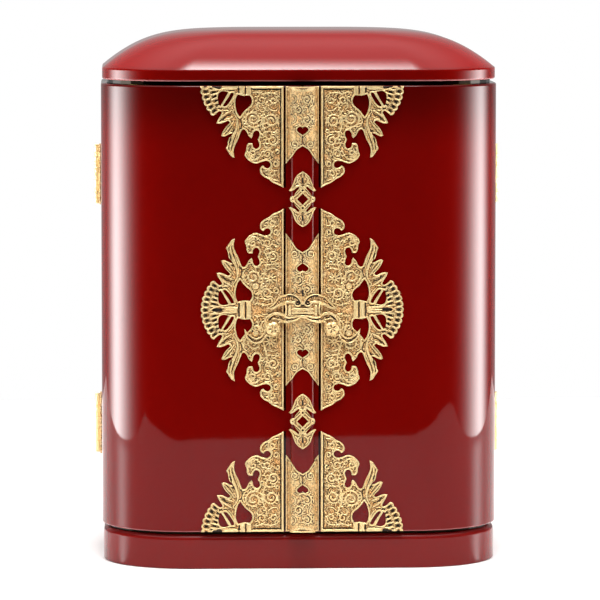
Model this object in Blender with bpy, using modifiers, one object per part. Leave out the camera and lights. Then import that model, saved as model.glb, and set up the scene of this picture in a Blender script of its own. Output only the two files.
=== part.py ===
"""A miniature Buddhist shrine: a lacquered case with a cushioned roof, two curved doors and gilt fittings.

Metres, +Z up. The doors face -Y, and the origin is the centre of the underside.
"""
import math

import bmesh
import bpy
from mathutils import Matrix

MM = 0.001
CLEARANCE = 0.3 * MM
MERGE_DISTANCE = 0.01 * MM
SHADE_DEGREES = 30
ROOF_SHADE_DEGREES = 45

# The case, seen from above: a rectangle with large round corners
BODY_WIDTH = 254.4 * MM
BODY_DEPTH = 178 * MM
CORNER_RADIUS = 56 * MM
WALL = 9 * MM
TRIM_INSET = 0.8 * MM
CORNER_STEPS = 8

# The case, from the ground up
BASE_HEIGHT = 22 * MM
BASE_TOP_ROUNDING = 3.5 * MM
BASE_TOP_STEPS = 3
BASE_FOOT_ROUNDING = 1 * MM
BASE_GAP = 1.7 * MM
DOOR_HEIGHT = 283.8 * MM
ROOF_GAP = 2.8 * MM
ROOF_RIM = 7.9 * MM
ROOF_RIM_ROUNDING = 1.2 * MM
SMALL_ROUNDING_STEPS = 1
DOME_RISE = 24.1 * MM
DOME_FULLNESS = 5.7
DOME_EASE = 0.75
DOME_SHARES = (0.975, 0.925, 0.86, 0.77, 0.65, 0.45)

# The gilt stepped boards behind the doors' ends
BOARD_INSET = 3.9 * MM
STOP_CLEARANCE = 0.6 * MM
FLOOR_STEP = 4.5 * MM
CEILING_STEP = 6 * MM

# Doors and their seam
EDGE_ROUNDING = 1.2 * MM
EDGE_SEGMENTS = 2
EDGE_DEGREES = 50
HINGE_DEPTH = 0 * MM
SEAM_CLEARANCE = 0.3 * MM

# The strip over the seam, and the gilt caps folded over it
STRIP_WIDTH = 14.8 * MM
STRIP_RISE = 6 * MM
STRIP_ROUNDING = 2.8 * MM
STRIP_STEPS = 3
CAP_SHEET = 0.6 * MM
CAP_FLANGE = 2.2 * MM
CAP_END_INSET = 0.4 * MM
END_CAP_LENGTH = 49.2 * MM
MIDDLE_CAP_LENGTH = 97.4 * MM
CAP_CUT_SPARE = 1.2 * MM
NOTCH_DEPTH = 11.7 * MM
NOTCH_SPARE = 5 * MM
HEART_WIDTH = 7.2 * MM
HEART_HEIGHT = 5.2 * MM
HEART_FROM_NOTCH = 9.6 * MM

# Sheet fittings on the doors. Their outline is drawn for one quarter of a middle fitting.
SHEET = 1.4 * MM
QUARTER_WIDTH = 52.6 * MM
QUARTER_HEIGHT = 64.2 * MM
FITTING_FROM_SEAM = 11.8 * MM
FITTING_END_INSET = 0.3 * MM

# Diamond ornaments, halfway between the caps
DIAMOND_WIDTH = 17.4 * MM
DIAMOND_HEIGHT = 35.2 * MM
DIAMOND_WRAP = 2.4 * MM

# Clasp and its flower-headed rivets
CLASP_WIDTH = 73.6 * MM
CLASP_HEIGHT = 32.1 * MM
CLASP_SHEET = 1.3 * MM
CLASP_RAMP = 3.4 * MM
FLOWER_RADIUS = 4.6 * MM
FLOWER_RISE = 2.2 * MM
FLOWER_STEPS = 15
PETALS = 5
PETAL_DIP = 0.1
FLOWER_RING_SHARES = ((1, 0), (1, 0.4), (0.75, 0.85), (0.3, 1))

# Hinges
HINGE_HEIGHT = 38.6 * MM
HINGE_FROM_DOOR_END = 41.2 * MM
HINGE_PLATE = 1.2 * MM
HINGE_LEAF = 15 * MM
KNUCKLE_RADIUS = 2.1 * MM
KNUCKLES = 5
KNUCKLE_TAB = 1.2 * MM
PIN_RADIUS = 0.9 * MM
PIN_PLAY = 0.25 * MM
ROUND_STEPS = 8

# Levels and planes that follow from the sizes
DOOR_FOOT = BASE_HEIGHT + BASE_GAP
DOOR_HEAD = DOOR_FOOT + DOOR_HEIGHT
DOOR_MIDDLE = (DOOR_FOOT + DOOR_HEAD) / 2
ROOF_FOOT = DOOR_HEAD + ROOF_GAP
HALF_WIDTH = BODY_WIDTH / 2
HALF_DEPTH = BODY_DEPTH / 2
FRONT = -HALF_DEPTH - CLEARANCE
AXIS_X = HALF_WIDTH + CLEARANCE + KNUCKLE_RADIUS

LACQUER = ((0.105, 0.006, 0.004, 1), 0.0, 0.12)
GILT = ((0.78, 0.50, 0.20, 1), 1.0, 0.30)
GOLD_LEAF = ((0.62, 0.45, 0.09, 1), 1.0, 0.38)

# One quarter of a fitting, in millimetres from the seam and from the fitting's middle line, on a sheet
# that is 52.6 wide and 64.2 high. Each run meets the next one in a corner.
QUARTER_DRAWN = (52.6, 64.2)
QUARTER_START = 11.8
QUARTER_RUNS = (
    ((11.8, 0), (11.8, 64.2)),
    ((11.8, 64.2), (15, 62.4), (18.6, 60.8), (21.5, 58.6), (24.4, 57.1), (26.3, 55.2), (26.8, 53),
     (26.2, 51.2), (24.8, 50.1)),
    ((24.8, 50.1), (23.5, 51.4), (21.7, 51.8), (20.3, 50.8), (20, 49.2), (20.9, 47.8), (22.7, 47.1),
     (25, 47.5), (29, 48.8), (32, 48), (34.4, 46.3), (36.3, 43.6), (35.4, 40.6), (35.1, 37.9),
     (33.9, 36.1), (31.5, 36)),
    ((31.5, 36), (31.2, 37.8), (30.2, 39.2), (28.7, 39.5), (27.4, 38.4), (27.1, 36.6), (28.2, 33.6)),
    ((28.2, 33.6), (27.2, 31.6), (26.9, 29.8), (27.6, 28.4), (29, 27.9), (30.5, 28.7), (31.3, 30.3),
     (31.4, 31.6), (32.2, 32.9)),
    ((32.2, 32.9), (34, 31.1), (35.3, 28.6), (36.4, 27.4), (37.4, 27.2), (38.3, 27.7), (40.5, 33.4),
     (42.1, 36.6), (43.2, 39.4), (43.3, 42), (42.8, 45.3)),
    ((42.8, 45.3), (44.8, 44.2), (48.2, 39.2)),
    ((48.2, 39.2), (47.3, 37.2), (46.9, 35), (46.2, 32.8), (44, 30.2), (45.3, 29.9), (49.6, 31.7),
     (51.2, 31.2)),
    ((51.2, 31.2), (50.1, 28.6), (48.4, 26), (46.6, 24.2), (45.7, 22.8), (46.9, 21.8), (51.4, 23.5),
     (54.2, 23.4)),
    ((54.2, 23.4), (53.2, 21), (50.8, 16.8), (51.4, 15.8), (52.6, 15.8), (56.4, 18.9)),
)
FAN_CENTRE = 37.1
FAN_RADIUS = 27.3
FAN_ANGLE = 43.8
FAN_SCALLOPS = 4
FAN_SCALLOP_RISE = 0.35
TEARDROP_RUNS = (
    ((40.8, 5.1), (37.2, 5.9), (33.2, 5.7)),
    ((33.2, 5.7), (31.8, 8.2), (32.1, 11.2), (33.8, 13.3), (36.2, 15.3), (39.4, 19.4)),
    ((39.4, 19.4), (41, 17), (42, 13.5), (42.3, 10), (41.8, 7.2), (40.8, 5.1)),
)
SLOT_RUNS = (
    ((43.3, 4.3), (43.6, 6.1), (45.8, 9.9), (48, 12.4), (49.4, 12.9)),
    ((49.4, 12.9), (50.1, 12.3), (48.9, 10.2), (46.3, 6.4), (45, 4.2), (43.3, 4.3)),
)
WEDGE_RUNS = (
    ((46.7, 3.5), (49.4, 6.8), (51.4, 10), (52, 11.5)),
    ((52, 11.5), (52.9, 10.8), (53.3, 7.2), (52.6, 4.3), (50.2, 3), (46.7, 3.5)),
)

# One quarter of a diamond ornament, drawn 17.4 wide and 35.2 high
DIAMOND_DRAWN = (17.4, 35.2)
DIAMOND_QUARTER = (
    (0, 17.6), (2.7, 15.9), (4.7, 13.5), (5.9, 10.5), (7, 7.7), (8.7, 5.4), (7.2, 5.1), (5, 6.3), (2.6, 8.2),
    (2.1, 6.9), (4.5, 4.3), (5.3, 2.1), (6.6, 1.8), (7.3, 0.8),
)
DIAMOND_HOLE = 3.6

# The right half of the clasp from its top to its foot, drawn 73.6 wide and 32.1 high
CLASP_DRAWN = (73.6, 32.1)
CLASP_RUNS = (
    ((0, 4.4), (1.2, 6.4), (3.2, 8.4), (6, 9.7), (9.4, 9.9), (13, 8.7), (16.2, 6.2), (18.8, 3.2),
     (22.4, 0.2)),
    ((22.4, 0.2), (18.6, -0.1), (14.6, 1.5), (11.2, 3)),
    ((11.2, 3), (10.9, 0), (11.2, -2.8)),
    ((11.2, -2.8), (14.3, -2.3), (17.4, -1.9), (20.6, -3.4), (23.6, -5.6), (24, -8.6), (23.4, -11)),
    ((23.4, -11), (24.8, -15.6), (28.9, -18.5), (33.2, -16.4), (36.8, -12.6)),
    ((36.8, -12.6), (35.8, -17.4), (32.8, -20.9), (29, -22.2), (25.4, -20.7), (22.9, -17.2)),
    ((22.9, -17.2), (19.4, -17.6), (15.6, -16.4), (13.8, -13), (14.4, -8.7)),
    ((14.4, -8.7), (11, -8.5), (7.5, -8.1), (4.2, -7), (1.8, -5.6), (0, -5)),
)
CLASP_FLOWER = (18.7, -12.5)
CLASP_LIFT = 0.3 * MM

# The upper outer edge of a hinge leaf, as shares of its width and half height, down to its point
HINGE_EDGE_SHARES = ((0.66, 1), (0.8, 0.78), (0.74, 0.5), (0.92, 0.3), (1, 0))

# One half of a cap's notched end and of its heart opening, as shares of their width and depth
NOTCH_HALF = ((1, 0), (0.86, 0.15), (0.62, 0.44), (0.42, 0.73), (0.3, 0.85), (0, 1))
HEART_HALF = ((0, -1), (0.62, -0.42), (1, 0.16), (0.88, 0.72), (0.46, 1), (0.12, 0.82), (0, 0.52))


def clear_scene():
    for obj in list(bpy.data.objects):
        bpy.data.objects.remove(obj, do_unlink=True)


def make_collection(name):
    group = bpy.data.collections.new(name)
    bpy.context.scene.collection.children.link(group)
    return group


def finish_for(name, finish):
    """A material of the object's own, with the colour, metal and roughness of its finish."""
    colour, metal, roughness = finish
    material = bpy.data.materials.new(name + "_finish")
    material.use_nodes = True
    shader = material.node_tree.nodes["Principled BSDF"]
    shader.inputs["Base Color"].default_value = colour
    shader.inputs["Metallic"].default_value = metal
    shader.inputs["Roughness"].default_value = roughness
    material.diffuse_color = colour
    return material


def add_object(name, mesh, finish, group, parent=None):
    obj = bpy.data.objects.new(name, mesh)
    obj.data.materials.clear()
    obj.data.materials.append(finish_for(name, finish))
    group.objects.link(obj)
    if parent is not None:
        obj.parent = parent
        obj.matrix_parent_inverse = parent.matrix_world.inverted()
    return obj


def shade(mesh, degrees=SHADE_DEGREES):
    mesh.shade_smooth()
    mesh.set_sharp_from_angle(angle=math.radians(degrees))
    return mesh


def join_runs(runs):
    """One line through all runs. Each ends where the next one starts, so its last point is left out."""
    return [point for run in runs for point in run[:-1]]


def plan(inset, share=1.0):
    """The case seen from above, pulled in by an inset or scaled, from the front right corner round."""
    radius = max(CORNER_RADIUS - inset, EDGE_ROUNDING)
    reach_x = HALF_WIDTH - inset - radius
    reach_y = HALF_DEPTH - inset - radius
    points = []
    for quarter, (side_x, side_y) in enumerate(((1, -1), (1, 1), (-1, 1), (-1, -1))):
        for step in range(CORNER_STEPS + 1):
            turn = math.radians(-90 + 90 * quarter + 90 * step / CORNER_STEPS)
            points.append((share * (side_x * reach_x + radius * math.cos(turn)),
                           share * (side_y * reach_y + radius * math.sin(turn))))
    return points


def stack(rings):
    """A closed mesh grown from its bottom face up through rings of (points, level)."""
    shape = bmesh.new()
    points, level = rings[0]
    face = shape.faces.new([shape.verts.new((x, y, level)) for x, y in points])
    bottom = bmesh.ops.duplicate(shape, geom=[face])["geom"]
    bmesh.ops.reverse_faces(shape, faces=[part for part in bottom if isinstance(part, bmesh.types.BMFace)])
    for points, level in rings[1:]:
        face = bmesh.ops.extrude_discrete_faces(shape, faces=[face])["faces"][0]
        for corner, (x, y) in zip(face.verts, points):
            corner.co = (x, y, level)
    bmesh.ops.remove_doubles(shape, verts=shape.verts, dist=MERGE_DISTANCE)
    bmesh.ops.recalc_face_normals(shape, faces=shape.faces)
    mesh = bpy.data.meshes.new("stack")
    shape.to_mesh(mesh)
    shape.free()
    return mesh


def rounding(radius, level, inset, steps, upward):
    """Rings round an outer edge: outward from the foot when upward, inward to the head when not."""
    rings = []
    for step in range(steps + 1):
        turn = math.pi / 2 * (step / steps)
        if upward:
            rings.append((inset + radius * (1 - math.sin(turn)), level + radius * (1 - math.cos(turn))))
        else:
            rings.append((inset + radius * (1 - math.cos(turn)), level - radius * (1 - math.sin(turn))))
    return rings


def slab(outlines, thickness):
    """A flat sheet with the first outline as its edge and the others as openings, from level 0 up."""
    curve = bpy.data.curves.new("slab", "CURVE")
    curve.dimensions = "2D"
    curve.fill_mode = "BOTH"
    curve.extrude = thickness / 2
    for outline in outlines:
        spline = curve.splines.new("POLY")
        spline.points.add(len(outline) - 1)
        for point, (x, y) in zip(spline.points, outline):
            point.co = (x, y, 0, 1)
        spline.use_cyclic_u = True
    holder = bpy.data.objects.new("slab", curve)
    bpy.context.scene.collection.objects.link(holder)
    graph = bpy.context.evaluated_depsgraph_get()
    mesh = bpy.data.meshes.new_from_object(holder.evaluated_get(graph))
    bpy.data.objects.remove(holder, do_unlink=True)
    bpy.data.curves.remove(curve)
    shape = bmesh.new()
    shape.from_mesh(mesh)
    bmesh.ops.remove_doubles(shape, verts=shape.verts, dist=MERGE_DISTANCE)
    bmesh.ops.translate(shape, verts=shape.verts, vec=(0, 0, thickness / 2))
    bmesh.ops.recalc_face_normals(shape, faces=shape.faces)
    shape.to_mesh(mesh)
    shape.free()
    return mesh


def upright(mesh, front, height):
    """Stands a flat sheet up, with its back in the plane Y = front and its own zero at a height."""
    mesh.transform(Matrix.Translation((0, front, height)) @ Matrix.Rotation(math.pi / 2, 4, "X"))
    return mesh


def ribbon(path, foot, head):
    """An open upright wall along a path."""
    shape = bmesh.new()
    below = [shape.verts.new((x, y, foot)) for x, y in path]
    edges = [shape.edges.new(pair) for pair in zip(below, below[1:])]
    above = bmesh.ops.extrude_edge_only(shape, edges=edges)["geom"]
    for part in above:
        if isinstance(part, bmesh.types.BMVert):
            part.co.z = head
    bmesh.ops.recalc_face_normals(shape, faces=shape.faces)
    mesh = bpy.data.meshes.new("ribbon")
    shape.to_mesh(mesh)
    shape.free()
    return mesh


def thicken(obj, thickness, sheet_side):
    solid = obj.modifiers.new("thickness", "SOLIDIFY")
    solid.thickness = thickness
    solid.offset = sheet_side
    solid.use_even_offset = True


def round_edges(obj):
    bevel = obj.modifiers.new("edges", "BEVEL")
    bevel.width = EDGE_ROUNDING
    bevel.segments = EDGE_SEGMENTS
    bevel.limit_method = "ANGLE"
    bevel.angle_limit = math.radians(EDGE_DEGREES)


def cut(obj, cutter):
    boolean = obj.modifiers.new("cut " + cutter.name, "BOOLEAN")
    boolean.operation = "DIFFERENCE"
    boolean.object = cutter


def add_cutter(name, mesh, cutters):
    obj = bpy.data.objects.new(name, mesh)
    obj.hide_render = True
    obj.display_type = "WIRE"
    cutters.objects.link(obj)
    return obj


def add_base(group):
    rings = rounding(BASE_FOOT_ROUNDING, 0, TRIM_INSET, SMALL_ROUNDING_STEPS, True)
    rings += rounding(BASE_TOP_ROUNDING, BASE_HEIGHT, TRIM_INSET, BASE_TOP_STEPS, False)
    mesh = shade(stack([(plan(inset), level) for inset, level in rings]))
    return add_object("base", mesh, LACQUER, group)


def add_roof(group):
    rings = rounding(ROOF_RIM_ROUNDING, ROOF_FOOT, TRIM_INSET, SMALL_ROUNDING_STEPS, True)
    rim_head = ROOF_FOOT + ROOF_RIM
    layers = [(plan(inset), level) for inset, level in rings]
    layers.append((plan(TRIM_INSET), rim_head))
    for share in DOME_SHARES:
        rise = (1 - share ** DOME_FULLNESS) ** (1 / DOME_EASE)
        layers.append((plan(TRIM_INSET, share), rim_head + DOME_RISE * rise))
    return add_object("roof", shade(stack(layers), ROOF_SHADE_DEGREES), LACQUER, group)


def add_boards(group):
    """The stepped boards that carry the shell and the roof, and that the doors close against."""
    stop = WALL + STOP_CLEARANCE
    floor = [(BOARD_INSET, BASE_HEIGHT + CLEARANCE), (BOARD_INSET, DOOR_FOOT - CLEARANCE),
             (stop, DOOR_FOOT - CLEARANCE), (stop, DOOR_FOOT + FLOOR_STEP)]
    ceiling = [(stop, DOOR_HEAD - CEILING_STEP), (stop, DOOR_HEAD + CLEARANCE),
               (BOARD_INSET, DOOR_HEAD + CLEARANCE), (BOARD_INSET, ROOF_FOOT - CLEARANCE)]
    for name, rings in (("floor_board", floor), ("ceiling_board", ceiling)):
        mesh = shade(stack([(plan(inset), level) for inset, level in rings]))
        add_object(name, mesh, GOLD_LEAF, group)


def add_shell(group):
    """The fixed rear half: a wall from one hinge line round the back to the other."""
    corner = CORNER_STEPS + 1
    hinge_edge = HINGE_DEPTH + SEAM_CLEARANCE
    path = [(HALF_WIDTH, hinge_edge)] + plan(0)[corner:3 * corner] + [(-HALF_WIDTH, hinge_edge)]
    obj = add_object("back_shell", ribbon(path, DOOR_FOOT, DOOR_HEAD), LACQUER, group)
    thicken(obj, WALL, -1)
    round_edges(obj)
    shade(obj.data)


def add_door(side, name, group, pivot):
    """A leaf from the seam round the front corner to the hinge line."""
    front_corner = plan(0)[:CORNER_STEPS + 1]
    path = [(SEAM_CLEARANCE / 2, -HALF_DEPTH)] + front_corner + [(HALF_WIDTH, HINGE_DEPTH - SEAM_CLEARANCE)]
    path = [(side * x, y) for x, y in path]
    obj = add_object(name, ribbon(path, DOOR_FOOT, DOOR_HEAD), LACQUER, group, pivot)
    thicken(obj, WALL, -1)
    round_edges(obj)
    shade(obj.data)
    return obj


def strip_section(grow):
    """Half of the strip's section, grown outward, from its foot to its middle: (across, out of the door)."""
    reach = STRIP_WIDTH / 2 + grow
    rise = STRIP_RISE + grow
    radius = STRIP_ROUNDING + grow
    points = [(reach, 0)]
    for step in range(STRIP_STEPS + 1):
        turn = math.pi / 2 * step / STRIP_STEPS
        points.append((reach - radius * (1 - math.cos(turn)), rise - radius * (1 - math.sin(turn))))
    return points


def both_sides(half):
    """A closed or open line made whole by its mirror image, from the right round to the left."""
    return half + [(-x, y) for x, y in reversed(half) if x > MERGE_DISTANCE]


def add_strip(group, pivot):
    mesh = slab([both_sides(strip_section(0))], DOOR_HEIGHT - 2 * CAP_END_INSET)
    # the section's second axis points out of the door
    mesh.transform(Matrix.Translation((0, FRONT, DOOR_FOOT + CAP_END_INSET)) @ Matrix.Scale(-1, 4, (0, 1, 0)))
    mesh.flip_normals()
    return add_object("seam_strip", shade(mesh), LACQUER, group, pivot)


def notch_mesh(tip, apex, through):
    """A cutter that leaves a cap's end notched, from beyond its tips to the apex."""
    direction = 1 if tip > apex else -1
    reach = cap_reach()
    half = [(reach * share, tip - direction * NOTCH_DEPTH * drop) for share, drop in NOTCH_HALF]
    half.insert(0, (reach + NOTCH_SPARE, tip))
    half.insert(0, (reach + NOTCH_SPARE, tip + direction * NOTCH_DEPTH))
    return slab([both_sides(half)], through)


def heart_mesh(centre, direction, through):
    half = [(HEART_WIDTH / 2 * x, centre + direction * HEART_HEIGHT / 2 * y) for x, y in HEART_HALF]
    return slab([both_sides(half)], through)


def cap_reach():
    return STRIP_WIDTH / 2 + CLEARANCE + CAP_SHEET + CAP_FLANGE


def add_cap(name, foot, head, notched_foot, notched_head, group, cutters, pivot):
    """A sheet folded over the strip, with heart openings and notched ends."""
    # the sheet's inner line starts on the door and climbs over the strip
    mesh = ribbon(both_sides([(cap_reach(), 0)] + strip_section(CLEARANCE)), foot, head)
    mesh.transform(Matrix.Translation((0, FRONT, 0)) @ Matrix.Scale(-1, 4, (0, 1, 0)))
    obj = add_object(name, mesh, GILT, group, pivot)
    thicken(obj, CAP_SHEET, 1)
    depth = STRIP_RISE + CAP_SHEET + CAP_CUT_SPARE
    through = 2 * depth
    back = FRONT + depth / 2
    hearts = []
    if notched_head:
        cutter = upright(notch_mesh(head, head - NOTCH_DEPTH, through), back, 0)
        cut(obj, add_cutter(name + "_head_notch", cutter, cutters))
        hearts.append((head - NOTCH_DEPTH - HEART_FROM_NOTCH, -1))
    if notched_foot:
        cutter = upright(notch_mesh(foot, foot + NOTCH_DEPTH, through), back, 0)
        cut(obj, add_cutter(name + "_foot_notch", cutter, cutters))
        hearts.append((foot + NOTCH_DEPTH + HEART_FROM_NOTCH, 1))
    for number, (centre, direction) in enumerate(hearts):
        cutter = upright(heart_mesh(centre, direction, through), back, 0)
        cut(obj, add_cutter(name + "_heart_" + str(number), cutter, cutters))
    shade(obj.data)
    return obj


def add_caps(group, cutters, pivot):
    head = DOOR_HEAD - CAP_END_INSET
    foot = DOOR_FOOT + CAP_END_INSET
    half = MIDDLE_CAP_LENGTH / 2
    add_cap("cap_top", head - END_CAP_LENGTH, head, True, False, group, cutters, pivot)
    add_cap("cap_middle", DOOR_MIDDLE - half, DOOR_MIDDLE + half, True, True, group, cutters, pivot)
    add_cap("cap_bottom", foot, foot + END_CAP_LENGTH, False, True, group, cutters, pivot)


def fan_edge():
    """The scalloped shell at the outer end of a quarter, from the wing back to the middle line."""
    points = []
    count = 2 * FAN_SCALLOPS
    for step in range(count + 1):
        turn = math.radians(FAN_ANGLE * (1 - step / count))
        radius = FAN_RADIUS + (FAN_SCALLOP_RISE if step % 2 else 0)
        points.append((FAN_CENTRE + radius * math.cos(turn), radius * math.sin(turn)))
    return points


def sized(points, drawn, width, height, start=0.0):
    """Drawn points brought to their real size, with a start line that stays where it is."""
    return [((x - start) / drawn[0] * width + (FITTING_FROM_SEAM if start else 0), y / drawn[1] * height)
            for x, y in points]


def quarter_outlines():
    """The edge and the openings of one quarter fitting on the right, above its middle line."""
    edge = join_runs(QUARTER_RUNS) + fan_edge()
    holes = [join_runs(runs) for runs in (TEARDROP_RUNS, SLOT_RUNS, WEDGE_RUNS)]
    return [sized(line, QUARTER_DRAWN, QUARTER_WIDTH, QUARTER_HEIGHT, QUARTER_START)
            for line in [edge] + holes]


def flipped(line, side, direction):
    return [(side * x, direction * y) for x, y in line]


def add_fitting(name, side, quarters, level, group, pivot):
    """A sheet on a door: one quarter upward or downward of its middle line, or both."""
    lines = quarter_outlines()
    if len(quarters) == 2:
        edge = lines[0][1:-1]
        outline = edge + [lines[0][-1]] + flipped(reversed(edge), 1, -1)
        outlines = [flipped(outline, side, 1)]
    else:
        outlines = [flipped(lines[0], side, quarters[0])]
    for direction in quarters:
        outlines += [flipped(hole, side, direction) for hole in lines[1:]]
    mesh = upright(slab(outlines, SHEET), FRONT, level)
    add_object(name, shade(mesh), GILT, group, pivot)


def add_fittings(group, pivots):
    for side, word in ((-1, "left"), (1, "right")):
        pivot = pivots[side]
        add_fitting("fitting_top_" + word, side, (-1,), DOOR_HEAD - FITTING_END_INSET, group, pivot)
        add_fitting("fitting_middle_" + word, side, (1, -1), DOOR_MIDDLE, group, pivot)
        add_fitting("fitting_bottom_" + word, side, (1,), DOOR_FOOT + FITTING_END_INSET, group, pivot)


def slice_across(mesh, places):
    """Cuts the faces along upright lines, so that the sheet can bend there."""
    shape = bmesh.new()
    shape.from_mesh(mesh)
    for place in places:
        everything = list(shape.verts) + list(shape.edges) + list(shape.faces)
        bmesh.ops.bisect_plane(shape, geom=everything, plane_co=(place, 0, 0), plane_no=(1, 0, 0),
                               dist=MERGE_DISTANCE)
    shape.to_mesh(mesh)
    shape.free()


def add_diamond(name, level, group, pivot):
    """An openwork ornament laid over the strip, its wings bent back beside it."""
    right = sized(DIAMOND_QUARTER, DIAMOND_DRAWN, DIAMOND_WIDTH, DIAMOND_HEIGHT)
    half = right + flipped(reversed(right[1:]), 1, -1) + [(0, -DIAMOND_HEIGHT / 2)]
    half = half[:-1] if half[-1] == half[-2] else half
    edge = half + flipped(reversed(half[1:-1]), -1, 1)
    reach = DIAMOND_HOLE / DIAMOND_DRAWN[0] * DIAMOND_WIDTH
    hole = [(reach, 0), (0, reach), (-reach, 0), (0, -reach)]
    mesh = upright(slab([edge, hole], SHEET), FRONT - STRIP_RISE - CLEARANCE, level)
    flat = STRIP_WIDTH / 2 - STRIP_ROUNDING
    slice_across(mesh, (-flat, flat))
    wing = DIAMOND_WIDTH / 2
    for corner in mesh.vertices:
        past = max(abs(corner.co.x) - flat, 0)
        corner.co.y += DIAMOND_WRAP * (past / (wing - flat)) ** 2
    add_object(name, shade(mesh), GILT, group, pivot)


def add_diamonds(group, pivot):
    cap_foot = DOOR_HEAD - CAP_END_INSET - END_CAP_LENGTH
    upper = (cap_foot + DOOR_MIDDLE + MIDDLE_CAP_LENGTH / 2) / 2
    add_diamond("diamond_upper", upper, group, pivot)
    add_diamond("diamond_lower", 2 * DOOR_MIDDLE - upper, group, pivot)


def clasp_front(across):
    """How far in front of the fittings the clasp's back stands: high over the cap, low beside it."""
    over = STRIP_RISE + 2 * CLEARANCE + CAP_SHEET
    beside = SHEET + CLEARANCE
    past = max(abs(across) - cap_reach(), 0)
    share = min(past / CLASP_RAMP, 1)
    return over + CLASP_LIFT + (beside - over) * share


def add_clasp(group, pivot):
    """The winged plate over the strip and both middle fittings, and its two flower-headed rivets."""
    right = sized(join_runs(CLASP_RUNS) + [CLASP_RUNS[-1][-1]], CLASP_DRAWN, CLASP_WIDTH, CLASP_HEIGHT)
    edge = right + flipped(reversed(right[1:-1]), -1, 1)
    mesh = upright(slab([edge], CLASP_SHEET), FRONT, DOOR_MIDDLE)
    ramp = cap_reach() + CLASP_RAMP
    slice_across(mesh, (-ramp, -cap_reach(), cap_reach(), ramp))
    for corner in mesh.vertices:
        corner.co.y -= clasp_front(corner.co.x)
    add_object("clasp", shade(mesh), GILT, group, pivot)
    place = sized([CLASP_FLOWER], CLASP_DRAWN, CLASP_WIDTH, CLASP_HEIGHT)[0]
    for side, word in ((-1, "left"), (1, "right")):
        back = FRONT - clasp_front(place[0]) - CLASP_SHEET - CLEARANCE
        mesh = flower_mesh()
        mesh.transform(Matrix.Translation((side * place[0], back, DOOR_MIDDLE + place[1]))
                       @ Matrix.Rotation(math.pi / 2, 4, "X"))
        add_object("flower_" + word, mesh, GILT, group, pivot)


def flower_mesh():
    """A low rivet head with five rounded petals."""
    rings = []
    for share, rise in FLOWER_RING_SHARES:
        ring = []
        for step in range(FLOWER_STEPS):
            turn = 2 * math.pi * step / FLOWER_STEPS
            petal = 1 - PETAL_DIP + PETAL_DIP * abs(math.cos(PETALS / 2 * turn))
            ring.append((FLOWER_RADIUS * share * petal * math.cos(turn),
                         FLOWER_RADIUS * share * petal * math.sin(turn)))
        rings.append((ring, FLOWER_RISE * rise))
    return shade(stack(rings))


def turned(profile, steps):
    """A closed round bar about the upright axis from a profile of (radius, level), foot to head."""
    shape = bmesh.new()
    corners = [shape.verts.new((radius, 0, level)) for radius, level in profile]
    for pair in zip(corners, corners[1:]):
        shape.edges.new(pair)
    bmesh.ops.spin(shape, geom=list(shape.verts) + list(shape.edges), cent=(0, 0, 0), axis=(0, 0, 1),
                   angle=2 * math.pi, steps=steps, use_merge=True)
    bmesh.ops.remove_doubles(shape, verts=shape.verts, dist=MERGE_DISTANCE)
    bmesh.ops.recalc_face_normals(shape, faces=shape.faces)
    mesh = bpy.data.meshes.new("turned")
    shape.to_mesh(mesh)
    shape.free()
    return mesh


def hinge_plate_outline(direction):
    """A hinge leaf seen from the side: (away from the pin, up), with a pointed outer edge."""
    near = KNUCKLE_RADIUS + 2 * CLEARANCE
    half = HINGE_HEIGHT / 2
    upper = [(near, half)] + [(HINGE_LEAF * out, half * up) for out, up in HINGE_EDGE_SHARES]
    line = upper + [(x, -y) for x, y in reversed(upper[:-1])]
    return [(direction * x, y) for x, y in line]


def add_hinge_leaf(name, side, direction, own, level, group, cutters, parent):
    """One leaf of a hinge: its plate on the wall and the knuckles that it holds."""
    pitch = HINGE_HEIGHT / KNUCKLES
    mesh = slab([hinge_plate_outline(direction)], HINGE_PLATE)
    # from flat to upright against the side wall
    mesh.transform(Matrix(((0, 0, side, side * (HALF_WIDTH + CLEARANCE)), (1, 0, 0, HINGE_DEPTH),
                           (0, 1, 0, level), (0, 0, 0, 1))))
    if side < 0:
        mesh.flip_normals()
    obj = add_object(name, shade(mesh), GILT, group, parent)
    centre = side * AXIS_X
    for number in own:
        foot = level - HINGE_HEIGHT / 2 + pitch * number + CLEARANCE / 2
        head = foot + pitch - CLEARANCE
        knuckle = turned([(0, foot), (KNUCKLE_RADIUS, foot), (KNUCKLE_RADIUS, head), (0, head)], ROUND_STEPS)
        knuckle.transform(Matrix.Translation((centre, HINGE_DEPTH, 0)))
        tab_end = direction * (KNUCKLE_RADIUS + KNUCKLE_TAB)
        tab = slab([[(0, foot), (tab_end, foot), (tab_end, head), (0, head)]], HINGE_PLATE)
        tab.transform(Matrix(((0, 0, side, side * (HALF_WIDTH + CLEARANCE)), (1, 0, 0, HINGE_DEPTH),
                              (0, 1, 0, 0), (0, 0, 0, 1))))
        if side < 0:
            tab.flip_normals()
        for word, extra in (("knuckle", knuckle), ("tab", tab)):
            helper = add_cutter(name + "_" + word + str(number), extra, cutters)
            union = obj.modifiers.new("union " + helper.name, "BOOLEAN")
            union.operation = "UNION"
            union.object = helper
    return obj


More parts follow.
